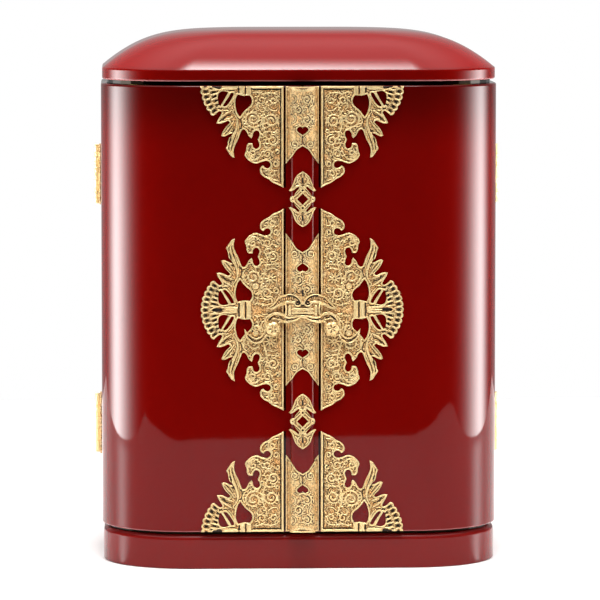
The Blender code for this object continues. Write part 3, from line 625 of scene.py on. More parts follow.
def fitting_work(kind):
    """One quarter: scrolls round their eyes, a stem between them, the wing's feathers and the fan's ribs.

    The fittings at the doors' ends have a straight border and the middle ones a rosette."""
    work = Work()
    if kind == "end":
        coils = ((31.0, 20.5, 6.6, 1.6, 200, -1.9, 0.62), (19.6, 22.0, 4.9, 1.3, 20, -1.6, 0.6),
                 (25.8, 8.6, 3.1, 1.0, 300, 1.3, 0.5), (18.3, 8.9, 2.7, 0.9, 250, -1.2, 0.5))
    else:
        coils = ((31.2, 20.8, 6.0, 1.5, 20, -1.75, 0.62), (22.6, 10.4, 4.3, 1.4, 210, 1.6, 0.6),
                 (29.2, 11.4, 2.3, 0.9, 20, 1.2, 0.45), (16.3, 12.3, 2.2, 0.8, 100, -1.25, 0.45))
    coils += ((18.6, 34.2, 4.0, 1.1, 300, -1.6, 0.55), (22.0, 42.6, 3.5, 1.0, 60, 1.5, 0.52),
              (16.6, 48.9, 2.3, 0.8, 250, -1.3, 0.45), (19.2, 55.0, 2.9, 0.8, 80, -1.45, 0.5),
              (31.3, 42.4, 2.6, 0.8, 130, -1.3, 0.5), (25.4, 31.4, 1.7, 0.6, 200, 1.2, 0.4),
              (15.9, 28.3, 1.5, 0.6, 10, 1.2, 0.4), (33.6, 30.2, 1.4, 0.5, 90, 1.1, 0.4),
              (15.8, 41.4, 1.7, 0.6, 10, -1.2, 0.4))
    for x, y, outer, inner, start, turns, wide in coils:
        line = curl(x, y, outer, inner, start, turns)
        work.draw(line, wide, (0.6, 1, 0.9), smooth=False)
        if outer > 2.5:
            foliage(work, line[:19], wide, side=1 if turns > 0 else -1)
        work.pit(x, y, 0.42)
    if kind == "middle":
        work.draw(ring(20.3, 20, 1.1), 0.5, (1, 1, 1), smooth=False)
        for number in range(9):
            turn = 2 * math.pi * number / 9
            spread = np.array((math.cos(turn), math.sin(turn)))
            work.draw([(20.3, 20) + spread * 1.9, (20.3, 20) + spread * 3.6], 0.55, (0.7, 1, 0.6))
            half = turn + math.pi / 9
            work.pit(20.3 + 2.9 * math.cos(half), 20 + 2.9 * math.sin(half), 0.36)
        stems = ((((30.2, 3.6), (27.5, 4.2), (25.3, 2.9), (21, 3.4), (17.9, 5.6), (16.6, 8.4)), 0.5),
                 (((27.8, 6.0), (28.4, 8.2), (26.9, 11.8), (26.0, 15.6), (24.9, 19.4), (23.9, 24.4),
                   (22.4, 28.6), (22.4, 33.2), (24.2, 37.2)), 0.55),
                 (((26.0, 15.6), (23.8, 14.9), (21.4, 15.9)), 0.4),
                 (((15.2, 14.8), (16.4, 17.4), (16.0, 21.4)), 0.4),
                 (((24.4, 22.6), (21.9, 25.4), (18.4, 26.4), (15.4, 25.2)), 0.45))
    else:
        stems = ((((31.4, 4.2), (28.2, 3.9), (25.2, 4.9), (21.4, 4.2), (17.2, 4.6), (14.9, 6.4)), 0.5),
                 (((22.2, 9.6), (22.9, 13.4), (24.9, 18.4), (25.2, 23.4), (23.9, 28.2), (22.6, 32.4),
                   (24.2, 37.2)),
                  0.6),
                 (((21.8, 13.2), (19.4, 15.2), (16.4, 15.4), (15.2, 13.6)), 0.45),
                 (((28.4, 10.6), (28.9, 12.6), (27.2, 14.6)), 0.42),
                 (((15.0, 18.4), (15.4, 22.4), (14.9, 25.4)), 0.4))
    stems += ((((23.4, 28.8), (20.4, 28.6), (17.6, 29.2)), 0.45),
              (((24.2, 37.2), (22.6, 38.6), (19.4, 39.2)), 0.45),
              (((25.6, 41.6), (27.2, 44.6), (30.6, 46.6), (33.4, 45), (34.8, 42.2), (33.9, 38.9)), 0.5),
              (((18.6, 45.6), (20.2, 47.4), (19, 50.4), (21.6, 53), (23.9, 53.6)), 0.45),
              (((15.0, 59.4), (17.4, 59.3), (20.6, 58)), 0.4),
              (((14.8, 51.6), (15.3, 55.4), (14.8, 58.2)), 0.36),
              (((36.4, 18), (37.8, 21.6), (36.8, 24.8), (34.2, 26.6)), 0.45),
              (((27.3, 26.8), (29.6, 27), (31.6, 28.3)), 0.4), (((32.6, 31.2), (30.6, 33.2)), 0.4))
    for line, wide in stems:
        work.draw(line, wide)
        if len(line) > 5:
            path = whole(line, 0.5)
            foliage(work, path, wide, every=2.6, side=1, length=1.5)
            foliage(work, path, wide, every=3.1, side=-1, length=1.3)
    # the straight border along the seam edge, and along the end of the door
    if kind == "end":
        work.draw(((12.7, 1.2), (12.7, 61.6)), 0.55, (1, 1, 1))
        work.sink(((13.75, 2.4), (13.75, 60.4)), 0.22)
        work.draw(((12.2, 0.9), (31.5, 0.9)), 0.45, (1, 1, 1))
        work.sink(((14, 2.1), (31.2, 2.1)), 0.3)
    # the wing: a smooth spine and feathers that run into its teeth
    for line, wide in (
            (((42.6, 17.6), (41.0, 21.4), (41.4, 26), (43.2, 31.2), (45, 36), (45.6, 39.6), (44.3, 42.9)),
             0.75),
            (((44.6, 15.2), (48.2, 17.4), (51.2, 19.8), (52.8, 22.2)), 0.6),
            (((43.6, 19.2), (46.4, 20.2), (49, 21)), 0.4), (((52.2, 16.6), (54, 18), (55.6, 18.6)), 0.4),
            (((43.2, 22.2), (46, 25.6), (48.2, 28.4), (49.8, 30.4)), 0.6),
            (((44, 25.8), (45.6, 28.4), (47.6, 30)), 0.38),
            (((44.2, 29.2), (46, 33), (47, 36.4), (47.2, 39)), 0.5),
            (((40.3, 23.6), (40.3, 28), (41.8, 32.4), (43.6, 37.4)), 0.35),
            (((42.6, 14.2), (43.8, 16.2), (42.4, 18)), 0.4),
            (((46.6, 15.1), (49.6, 15.2), (50.6, 14.4)), 0.38),
            (((48.4, 23.2), (51, 24.2), (53, 23.6)), 0.38),
            (((42.6, 4.2), (43.1, 8.2), (44.7, 11.4), (46.9, 13.8)), 0.45)):
        work.draw(line, wide)
    for line in (((39.3, 20.4), (38.3, 23.6), (38.6, 27)), ((45.2, 18), (48.4, 19.2), (50.6, 21.2)),
                 ((45, 23.6), (47.6, 26.4), (49.4, 29)), ((43.2, 27.4), (44.9, 31.2), (46.2, 35.6))):
        work.sink(line, 0.24)
    # the fan: ribs to the valleys of its edge, dark cells between them in two rows, a rope between the rows
    for number in range(6):
        for turn, foot, tip in ((FAN_PITCH * (number + 0.5), 22.6, 25.6),
                                (FAN_PITCH * (number + 1) - 1.0, 16.8, 21.4)):
            if turn > 42 or (foot < 20 and number == 5):
                continue
            spread = np.array((math.cos(math.radians(turn)), math.sin(math.radians(turn))))
            work.draw([(FAN_CENTRE, 0) + spread * foot, (FAN_CENTRE, 0) + spread * tip], 0.5, (1, 0.9, 1))
    for row, first, half, reach in ((24.15, 0, 0.78, 0.42), (19.2, 11.6, 0.62, 0.85)):
        for number in range(6):
            turn = math.radians(first + FAN_PITCH * number)
            if turn > math.radians(41):
                continue
            out = np.array((math.cos(turn), math.sin(turn)))
            spot = np.array((FAN_CENTRE, 0)) + row * out
            work.sink([tuple(spot - out * reach), tuple(spot + out * reach)], half)
    rope = [(FAN_CENTRE + 21.9 * math.cos(math.radians(turn)), 21.9 * math.sin(math.radians(turn)))
            for turn in range(0, 45, 4)]
    work.draw(rope, 0.5, (1, 1, 1))
    for turn in np.arange(2, 43, 2.7):
        out = np.array((math.cos(math.radians(turn)), math.sin(math.radians(turn))))
        work.sink([tuple((FAN_CENTRE, 0) + 21.6 * out), tuple((FAN_CENTRE, 0) + 22.3 * out)], 0.16)
    # the collar's two broad ribs, and the stem with its pointed leaf
    for u in (33.9, 38.0):
        work.draw(((u, -4.9), (u, 4.9)), 1.5, (1, 1, 1))
    work.sink(((35.9, -5.2), (35.9, 5.2)), 0.34)
    work.sink(((40.2, -4.6), (40.2, 4.6)), 0.24)
    work.draw(((41.6, 1.2), (45.6, 1.6), (49.4, 1.5), (52.4, 2.4)), 0.7, (1, 1, 0.5))
    work.draw(((41.8, 0), (46, 0), (50.6, 0)), 0.5, (1, 1, 0.5))
    work.draw(((52.2, 2.3), (54.8, 1.9), (57.4, 0.6), (58.6, 0)), 0.5)
    work.sink(((51.8, 0), (53.6, 0), (56.2, 0)), 1.15)
    work.sink(((43.4, 2.6), (46.6, 2.7), (50.2, 2.3)), 0.24)
    work.draw(((45.4, 4.4), (46.9, 7.4), (48.6, 10.4), (50.0, 12.6)), 0.4, (1, 1, 1))
    if kind == "end":
        spots = ((18, 20.2), (19.5, 21.8), (26, 10.3), (28, 9.5), (22.2, 6.6), (24.2, 11.6))
    else:
        spots = ((28.7, 9), (27, 9), (26, 2.8), (23, 8), (21.5, 9.7), (23.3, 10.8), (33.2, 24.6),
                 (34.2, 23.4))
    spots += ((19.5, 35), (20.5, 38), (16.5, 42), (16, 57), (26.6, 22.2), (22.6, 24.9), (17.2, 24.6),
              (20.2, 30.2), (24.6, 45.6), (19.4, 44.2), (15.4, 31.2), (28.4, 29.4), (46.8, 22.8),
              (51.4, 14.6), (45, 17.2), (33.4, 16.4), (28.4, 17.4), (14.8, 36.4), (24.2, 35), (17.6, 52.6),
              (23.4, 56.2), (29.4, 44.6))
    for x, y in spots:
        work.pit(x, y, 0.44)
    if kind == "middle":
        work.dome(29.6, 15, 2.1)
    return work

def rim_height(distance, top, ground, drop=0.3):
    """A sheet's raised and rounded rim by the distance from its edge."""
    return np.interp(distance, (0, 0.14, 0.34, 0.62, 0.95, 1.2, 1.45, 1.8),
                     (top - drop, top - 0.09, top, top - 0.03, top - 0.6 * (top - ground), ground - 0.1,
                      ground - 0.2, ground))

def fan_edge():
    turn = np.linspace(FAN_ANGLE, 0, 76)
    radius = FAN_RADIUS + 1.25 * np.abs(np.cos(math.pi * turn / FAN_PITCH)) ** 0.6
    turn = np.radians(turn)
    return np.column_stack((FAN_CENTRE + radius * np.cos(turn), radius * np.sin(turn)))

def sheet_parts(points, faces, heights, place, tones, walls=None):
    """A worked sheet: its front, and a wall round its edges down to what it lies on."""
    front = place(points[:, 0], points[:, 1], heights)
    pairs = boundary(faces)
    if walls is not None:
        pairs = pairs[walls(points[pairs[:, 0]], points[pairs[:, 1]])]
    used = np.unique(pairs)
    back = place(points[used, 0], points[used, 1], np.zeros(len(used)))
    where = {int(old): len(points) + new for new, old in enumerate(used)}
    everything = np.vstack((front, back))
    quads = [(int(b), int(a), where[int(a)], where[int(b)]) for a, b in pairs]
    return everything, [tuple(face) for face in faces] + quads, np.concatenate((tones, np.zeros(len(used))))

def make_sheet(name, points, faces, heights, place, material, body, nodes, tones, walls=None):
    points, faces, tones = sheet_parts(points, faces, heights, place, tones, walls)
    make_object(name, points, faces, [material], body, nodes, tones=tones, sharp=55)

def off_middle(a, b):
    """Whether the edges from a to b leave the line on which a middle fitting's halves meet."""
    return (np.abs(a[:, 1]) > 0.01) | (np.abs(b[:, 1]) > 0.01)

def make_fittings(gilt):
    """Eight quarters: one of each kind is worked, and the others are its mirror images."""
    holes = [join_runs(runs, FINE) for runs in (TEARDROP_RUNS, SLOT_RUNS, WEDGE_RUNS)]
    edge = np.vstack((join_runs(QUARTER_RUNS, FINE), fan_edge()))
    closing = smooth_run((tuple(edge[-1]), (11.8, 0)), FINE)[1:]
    loops = [np.vstack((edge, closing))] + holes
    for kind, rows in (("end", (("top", FITTING_HEAD, (-1,)), ("bottom", FITTING_FOOT, (1,)))),
                       ("middle", (("middle", DOOR_MIDDLE, (1, -1)),))):
        walls = off_middle if kind == "middle" else None
        work = fitting_work(kind)
        points, faces, gaps = fill(loops, FINE, RIM_RINGS, work.guides())
        if kind == "middle":
            # the two halves meet without a rim
            gaps = segment_distance(points, *edges_of(loops, off_middle))
        heights, tones = work.carve(points, rim_height(gaps, SHEET, GROUND), 1.34, GROUND, 0.22, 0.15)
        for side, word in ((1, "right"), (-1, "left")):
            for row, level, ways in rows:
                name = "fitting_" + row + "_" + word
                shapes = [(faces if side * way > 0 else faces[:, ::-1]) + number * len(points)
                          for number, way in enumerate(ways)]
                make_sheet(name + "_worked", np.vstack([points * (side, way) for way in ways]),
                           np.vstack(shapes), np.tile(heights, len(ways)),
                           lambda u, v, h: np.column_stack((u, FRONT - h, level + v)), gilt, word + "_leaf",
                           (name,), np.tile(tones, len(ways)), walls)

def cap_surface(along):
    """The cap's bend: from the way along its section to (across, in front of the door, normal)."""
    line = strip_section(CLEARANCE, 16)
    line = np.vstack(((CAP_REACH, 0), line, (-CAP_REACH, 0)))[::-1]
    steps = np.linalg.norm(np.diff(line, axis=0), axis=1)
    length = np.concatenate(((0,), np.cumsum(steps))) - steps.sum() / 2
    along = np.asarray(along, float)
    across = np.interp(along, length, line[:, 0])
    out = np.interp(along, length, line[:, 1])
    step = 0.15
    ahead, behind = (np.column_stack([np.interp(spot, length, line[:, axis]) for axis in (0, 1)])
                     for spot in (along + step, along - step))
    tangent = ahead - behind
    tangent /= np.linalg.norm(tangent, axis=1)[:, None]
    normal = np.column_stack((-tangent[:, 1], tangent[:, 0]))
    return across, out, normal, length[-1]

def cap_place(u, v, h):
    across, out, normal, _ = cap_surface(u)
    return np.column_stack((across + normal[:, 0] * h, FRONT - out - normal[:, 1] * h, v))

def heart_line(centre, way):
    half = [(3.6 * x, centre + way * 2.6 * y) for x, y in HEART_HALF]
    right = smooth_run(half, 0.3)
    return np.vstack((right, [half[-1]], (right[::-1] * (-1, 1))[:-1]))

def cap_loops(foot, head, notched_foot, notched_head):
    _, _, _, reach = cap_surface([0.0])
    along = np.linspace(-reach, reach, 121)
    across = np.abs(cap_surface(along)[0])
    shares = [share for share, _ in NOTCH_HALF][::-1]
    drops = [drop for _, drop in NOTCH_HALF][::-1]
    notch = NOTCH_DEPTH * np.interp(across / CAP_REACH, shares, drops)
    lower = np.column_stack((along, foot + notch * notched_foot))
    upper = np.column_stack((along[::-1], head - (notch * notched_head)[::-1]))
    right = smooth_run((tuple(lower[-1]), tuple(upper[0])), FINE)[1:]
    left = smooth_run((tuple(upper[-1]), tuple(lower[0])), FINE)[1:]
    loops = [np.vstack((lower, right, upper, left))]
    if notched_head:
        loops.append(heart_line(head - HEART_DEPTH, -1))
    if notched_foot:
        loops.append(heart_line(foot + HEART_DEPTH, 1))
    return loops

def cap_work(low, high, way, apex):
    """Scrolls with their leaves between two levels, and lobes beside a notch; way is the notch's side."""
    work = Work()
    side, step = 1, -way
    level, last = (high, low) if way > 0 else (low, high)
    while (level - last) * way > 1.2:
        room = min(3.5, abs(level - last) / 2 + 0.6)
        coil = curl(side * 2.6, level + step * room, room, 0.8, 90 * side, -1.5 * side)
        work.draw(coil, 0.5, (0.6, 1, 0.9), smooth=False)
        foliage(work, coil[:17], 0.4, side=-side, length=1.5, every=1.7)
        for line, wide in ((((-6.2, 0.6), (-4.4, 2.4), (-4.8, 4.6), (-6.4, 5.8)), 0.42),
                           (((7.4, 1.2), (6.8, 4), (7.6, 6.4)), 0.34)):
            work.draw([(side * x, level + step * y) for x, y in line], wide)
        for x, y in ((-1.7, 1.2), (0.4, 3.2), (-2.6, 4.4), (2.6 * side, room), (3.6, 5.6), (-0.9, 6)):
            work.pit(x, level + step * y, 0.46)
        level += step * (2 * room - 0.7)
        side = -side
    # the heart's brow, its tail to the notch and a lobe on each side of that
    heart = apex + way * 9.6
    work.draw(((-5.2, heart + way * 2.6), (-2.6, heart + way * 3.9), (0, heart + way * 2.9),
               (2.6, heart + way * 3.9), (5.2, heart + way * 2.6)), 0.4)
    work.sink(((-2, heart + way * 2.6), (0, heart + way * 2.2), (2, heart + way * 2.6)), 0.22)
    work.sink(((0, heart - way * 3.1), (0, apex + way * 1.6)), 0.32)
    for mirrored in (-1, 1):
        work.draw(curl(mirrored * 5, apex + way * 1.2, 3.0, 0.8, 90 - mirrored * way * 60,
                       -1.4 * mirrored * way),
                  0.45, (0.6, 1, 0.9), smooth=False)
        work.pit(mirrored * 5, apex + way * 1.2, 0.4)
        work.draw(((mirrored * 0.6, heart - way * 3.6), (mirrored * 1.6, heart - way * 5),
                   (mirrored * 1.2, apex + way * 1.6)), 0.36)
        work.draw(((mirrored * 8.6, apex - way * 1), (mirrored * 7.8, apex - way * 4.6),
                   (mirrored * 8.8, apex - way * 7.4)), 0.36)
    return work

def lens_lip(points, heights, tones, end):
    """The hollow lip along a cap's straight end, as heights and tones, with painted shade in the hollow."""
    off = np.abs(points[:, 1] - end)
    lens = 3.1 * np.sqrt(np.clip(1 - (points[:, 0] / 8.5) ** 2, 0, 1))
    share = off / np.maximum(lens, 0.1)
    lip = np.interp(share, (0, 0.25, 0.5, 0.72, 0.9, 1), (0.5, 0.34, 0.12, 0.5, 0.58, 0.4))
    middle = np.clip(1.25 - np.abs(points[:, 0]) / 4.5, 0, 1)
    # tones: bright on the lip's rims, and painted shade (below zero) in its hollow
    wear_and_painted_light = np.interp(share, (0, 0.25, 0.5, 0.7, 0.9, 1), (1, 0.5, -1, 0.7, 1, 0.4))
    wear_and_painted_light = wear_and_painted_light * middle + (1 - middle) * 0.7
    return np.where(off < lens, lip, heights), np.where(off < lens, wear_and_painted_light, tones)

def make_caps(gilt):
    """The sheets folded over the strip, engraved on top, their flanges smooth."""
    for name, foot, head, notched_foot, notched_head in CAPS:
        loops = cap_loops(foot, head, notched_foot, notched_head)
        works = []
        if notched_foot:
            high = DOOR_MIDDLE - 8.6 if notched_head else head - 4.6
            works.append(cap_work(foot + 25.8, high, 1, foot + NOTCH_DEPTH))
        if notched_head:
            low = DOOR_MIDDLE + 9.6 if notched_foot else foot + 4.6
            works.append(cap_work(low, head - 25.8, -1, head - NOTCH_DEPTH))
        points, faces, distance = fill(loops, FINE * 0.9, (0.15, 0.35, 0.6, 0.85, 1.1),
                                       np.vstack([work.guides() for work in works]))
        heights = np.interp(distance, (0, 0.15, 0.35, 0.6, 0.85, 1.1, 1.4),
                            (0.3, 0.52, 0.6, 0.55, 0.36, 0.34, 0.4))
        both = Work()
        for work in works:
            both.raised += work.raised
            both.sunk += work.sunk
            both.pits += work.pits
        if name == "cap_middle":
            both.sink(((0, DOOR_MIDDLE + 9.8), (0, DOOR_MIDDLE + 12.4)), 0.8)
            for side in (-1, 1):
                both.sink(((side * 4.6, DOOR_MIDDLE + 12.6), (side * 2.2, DOOR_MIDDLE + 10.4)), 0.3)
        heights, tones = both.carve(points, heights, 0.58, 0.4, 0.12, 0.08)
        tones = np.where(tones > -0.1, np.minimum(tones + CAP_WEAR, 1), tones)
        for end, notched in ((head, notched_head), (foot, notched_foot)):
            if not notched:
                heights, tones = lens_lip(points, heights, tones, end)
        make_sheet(name + "_worked", points, faces, heights, cap_place, gilt, "right_leaf", (name,), tones)

def diamond_work():
    work = Work()
    work.draw(((0, 16.4), (0, 13.4)), 0.4)
    work.draw(((0.9, 9.2), (2.6, 10.4), (3.4, 12.6), (1.8, 14.8)), 0.5)
    work.draw(((2.6, 8.9), (4.6, 7.8), (6.6, 6)), 0.5)
    work.draw(((3.4, 10.9), (4.9, 9.2)), 0.36)
    work.draw(((0.6, 6.4), (2.2, 4.6), (4.2, 2.6), (5.4, 1.4)), 0.42)
    work.draw(ring(6.3, 0, 0.9, 14), 0.4, (1, 1, 1), smooth=False)
    work.sink(((1.5, 6.3), (3.4, 4.6), (4.9, 2.8)), 0.2)
    work.pit(6.3, 0, 0.5)
    work.pit(1.5, 12, 0.34)
    work.mirror()
    work.mirror((1, -1))
    for way in (-1, 1):
        work.draw(ring(0, 5.6 * way, 1.25, 16), 0.45, (1, 1, 1), smooth=False)
        work.pit(0, 5.6 * way, 0.8)
        work.sink(((0, 13.2 * way), (0, 10.6 * way)), 0.6)
        work.pit(0, 8.4 * way, 0.5)
        work.draw(((-2.4, 8.7 * way), (0, 7.6 * way), (2.4, 8.7 * way)), 0.55, (1, 1, 1))
    return work

def make_diamonds(gilt):
    """Two openwork ornaments laid over the strip, their wings bent back beside it."""
    half = join_runs(DIAMOND_RUNS, 0.3)
    half = np.vstack((half, [DIAMOND_RUNS[-1][-1]]))
    half = np.vstack((half, half[::-1][1:] * (1, -1)))
    loop = np.vstack((half, half[1:-1][::-1] * (-1, 1)))
    hole = [(3.6, 0), (0, 3.6), (-3.6, 0), (0, -3.6)]
    hole = join_runs(list(zip(hole, hole[1:] + hole[:1])), 0.3)
    work = diamond_work()
    points, faces, distance = fill([loop, hole], 0.32, (0.14, 0.34, 0.62, 0.9), work.guides())
    heights = np.interp(distance, (0, 0.14, 0.34, 0.62, 0.9, 1.2), (0.95, 1.3, 1.4, 1.32, 0.92, 0.98))
    heights, tones = work.carve(points, heights, 1.38, 1.0, 0.15, 0.3)

    def place(u, v, h, level):
        past = np.maximum(np.abs(u) - (STRIP_HALF - STRIP_ROUNDING), 0)
        wrap = 2.4 * (past / (8.7 - STRIP_HALF + STRIP_ROUNDING)) ** 2
        return np.column_stack((u, FRONT - STRIP_RISE - CLEARANCE - h + wrap, level + v))

    for name, level in DIAMONDS:
        make_sheet(name + "_worked", points, faces, heights, lambda u, v, h: place(u, v, h, level), gilt,
                   "right_leaf", (name,), tones)

def clasp_back(across):
    over = STRIP_RISE + 2 * CLEARANCE + CAP_SHEET + 0.3
    beside = SHEET + CLEARANCE
    share = np.clip((np.abs(across) - CAP_REACH) / 3.4, 0, 1)
    share = share * share * (3 - 2 * share)
    return over + (beside - over) * share

def clasp_work():
    """The right half: a hatched wing with its scroll, a ribbed plate, a roped band and a crescent."""
    work = Work()
    work.sink(((9.4, 9.0), (6.6, 8.8), (4.6, 7.9), (3, 6.6), (2.1, 5.0), (2.3, 3.6), (3.4, 3.1), (4.3, 3.9)),
              0.46)
    work.draw(((1.1, 5.2), (1.2, 3.4), (2.6, 2.3), (4.4, 2.6), (5.3, 4.2), (4.8, 5.6)), 0.42)
    work.pit(3.3, 4.9, 0.95)
    upper = whole(((5.6, 8), (9, 8.5), (12.4, 7.4), (15.4, 5.2), (18, 2.4), (20.4, 0.9)), 1.05)
    lower = whole(((6, 6.2), (8.4, 6.5), (11, 5.8), (13.6, 4.3), (16.4, 2.5), (19, 1.2)), 0.9)
    for share in np.linspace(0, 1, 13):
        high = [np.interp(share, np.linspace(0, 1, len(upper)), upper[:, axis]) for axis in (0, 1)]
        low = [np.interp(share * 0.96, np.linspace(0, 1, len(lower)), lower[:, axis]) for axis in (0, 1)]
        work.sink((tuple(low), tuple(high)), 0.11)
    work.draw(((5.4, 4.6), (8.6, 5.0), (11.4, 4.4), (14.4, 2.8), (17.6, 1.2), (21, 0.5)), 0.85, (1, 1, 0.4))
    for level in (0.15, -1.9):
        work.draw(((-0.2, level), (6.4, level)), 1.0, (1, 1, 0.7))
    for level in (1.25, -0.95, -2.8):
        work.sink(((-0.2, level), (3, level)), 0.22)
    work.sink(((-0.2, 2.3), (0.9, 2.3)), 0.5)
    work.draw(((8.3, 2.2), (8.4, -0.4), (8.3, -3)), 0.9, (1, 1, 1))
    work.draw(((0, -3.9), (3, -4.1), (6, -4.9), (9, -5.1), (12, -4.2), (15, -3.5), (17.8, -3.3), (20.4, -4.8),
               (22.2, -7), (22.4, -9.6)), 0.55, (1, 1, 0.7))
    work.draw(((2.2, -5.3), (4.8, -6.6), (8, -7.3), (11.4, -7.4), (14.6, -7), (17.6, -6.2), (19.4, -6.6)),
              0.5)
    work.sink(((3.4, -5.2), (5.2, -6), (7, -5.7), (8.8, -6.5), (10.6, -5.8), (12.4, -6.3), (14.2, -5),
               (16, -5.7), (17.8, -4.5), (19.6, -5.6), (20.8, -7)), 0.24)
    for x, y in ((6.1, -5.9), (9.7, -6.2), (13.3, -5.7), (16.9, -5.1), (21.2, -9.6), (15.4, -15),
                 (22.9, -14.2)):
        work.pit(x, y, 0.34)
    # the crescent, hatched between its rims
    outer = whole(((23.6, -16.6), (25.7, -19.8), (29, -21.1), (32.4, -19.8), (35, -16.8)), 1.0)
    inner = whole(((24.5, -16), (26.2, -18.2), (28.9, -19.4), (32.4, -18), (34.6, -15.9)), 1.0)
    for share in np.linspace(0.04, 0.96, 13):
        ends = [tuple(np.interp(share, np.linspace(0, 1, len(line)), line[:, axis]) for axis in (0, 1))
                for line in (outer, inner)]
        work.sink(ends, 0.12)
    return work.mirror()

def make_clasp(gilt):
    """The winged plate over the strip and both middle fittings, with its two flower-headed rivets."""
    right = np.vstack((join_runs(CLASP_RUNS, FINE), [CLASP_RUNS[-1][-1]]))
    loop = np.vstack((right, right[1:-1][::-1] * (-1, 1)))
    work = clasp_work()
    points, faces, distance = fill([loop], FINE * 0.9, RIM_RINGS, work.guides())
    heights, tones = work.carve(points, rim_height(distance, CLASP_SHEET, 0.8, 0.45), 1.26, 0.8, 0.18, 0.2)
    make_sheet("clasp_worked", points, faces, heights,
               lambda u, v, h: np.column_stack((u, FRONT - clasp_back(u) - h, DOOR_MIDDLE + CLASP_LIFT + v)),
               gilt, "right_leaf", ("clasp",), tones)
    for side, word in ((-1, "left"), (1, "right")):
        make_flower(side, word, gilt)

def make_flower(side, word, gilt):
    """A low rivet head: five round petals, with painted shade in the creases between them."""
    count, petals, radius, rise = 120, 5, 4.6, 2.2
    turns = np.arange(count) * 2 * math.pi / count
    petal = np.abs(np.cos(petals / 2 * turns))
    rings, tones = [], []
    radii = np.concatenate((np.linspace(0.04, 1, 26), (1.0,)))
    for number, share in enumerate(radii):
        reach = radius * share * (1 - 0.13 * share * (1 - petal) ** 1.5)
        x = side * CLASP_FLOWER[0] + reach * np.cos(turns)
        z = DOOR_MIDDLE + CLASP_LIFT + CLASP_FLOWER[1] + reach * np.sin(turns)
        crease = np.clip(1.2 - petal / 0.62, 0, 1) * math.sin(math.pi * min(share * 1.35, 1))
        swell = math.sqrt(max(1 - share ** 2.6, 0)) * (0.86 + 0.14 * math.sin(math.pi * share))
        swell *= number < 26
        lift = rise * 0.98 * swell * (1 - 0.34 * crease)
        back = FRONT - clasp_back(CLASP_FLOWER[0]) - CLASP_SHEET - CLEARANCE
        rings.append(np.column_stack((x, back - lift, z)))
        # painted shade: the creases' tones go below zero, which the gilding paints near black
        tones.append(np.clip(0.9 - 1.9 * crease, -1, 1) + 0 * turns)
    points, faces = loft(rings, caps=False)
    faces.append(tuple(reversed(range(count))))
    make_object("flower_" + word + "_worked", points, faces, [gilt], "right_leaf", ("flower_" + word,),
                tones=np.concatenate(tones))

def hinge_work():
    """Scrolls and nail heads on the upper half of a hinge leaf, mirrored below."""
    work = Work()
    for way in (-1, 1):
        work.draw([(x, y * way) for x, y in curl(8.0, 5.2, 2.3, 0.7, 80, -1.4)], 0.4, (0.6, 1, 0.9),
                  smooth=False)
        work.draw([(x, y * way) for x, y in curl(7.4, 12.6, 2.2, 0.7, -70, 1.4)], 0.4, (0.6, 1, 0.9),
                  smooth=False)
        work.draw(((10.6, 1.4 * way), (12, 2.8 * way), (12.2, 4.8 * way)), 0.36)
        work.draw(((4.6, 9.0 * way), (6.4, 9.2 * way), (8.6, 8.9 * way)), 0.34)
        work.dome(5.0, 16.6 * way, 0.95)
        work.dome(4.9, 2.4 * way, 0.95)
        work.pit(8.0, 5.2 * way, 0.4)
        work.pit(7.4, 12.6 * way, 0.4)
    work.dome(11.4, 0, 0.95)
    return work

def turned(section, across, steps=28, joined=False):
    """A section of (radius, level) pairs turned about an upright line; joined closes it into a tube."""
    turns = np.arange(steps) * 2 * math.pi / steps
    rings = [np.column_stack((across + radius * np.cos(turns), radius * np.sin(turns), np.full(steps, level)))
             for radius, level in section]
    points, faces = loft(rings, caps=not joined)
    if joined:
        last = (len(section) - 1) * steps
        faces += [(last + i, last + (i + 1) % steps, (i + 1) % steps, i) for i in range(steps)]
    return points, faces

def knuckle_section(low, high, inner):
    """A knuckle's outline from its bore at the foot round to its bore at the head."""
    radius, edge = HINGE_KNUCKLE, 0.22
    return [(inner, low), (radius - edge, low), (radius - 0.07, low + 0.07), (radius, low + edge),
            (radius, low + 2 * edge), (radius, high - 2 * edge), (radius, high - edge),
            (radius - 0.07, high - 0.07), (radius - edge, high), (inner, high)]

def hinge_knuckles(side, direction, level):
    """A leaf's knuckles and the tabs that hold them; the shell's are one shape with the pin."""
    pitch, foot = 2 * HINGE_HALF / 5, level - HINGE_HALF
    spans = [(foot + pitch * number + HINGE_SPARE, foot + pitch * (number + 1) - HINGE_SPARE)
             for number in range(5)]
    if direction < 0:
        own = spans[1::2]
        parts = [turned(knuckle_section(low, high, HINGE_BORE), side * AXIS_X, joined=True)
                 for low, high in own]
    else:
        own = spans[0::2]
        low, high = own[0][0], own[-1][1]
        section = [pair for span in own for pair in knuckle_section(*span, HINGE_PIN)]
        section = [(0.02, low), (0.5, low)] + section[1:-1] + [(0.5, high), (0.02, high)]
        parts = [turned(section, side * AXIS_X)]
    inner, outer = side * (HALF_WIDTH + CLEARANCE), side * (HALF_WIDTH + CLEARANCE + 1.15)
    start, end = direction * 1.3, direction * 3.1
    for low, high in own:
        points, faces = loft([[(inner, start, at), (outer, start, at), (outer, end, at), (inner, end, at)]
                              for at in (low + 0.1, high - 0.1)])
        parts.append((points, faces if side * direction > 0 else [face[::-1] for face in faces]))
    return parts

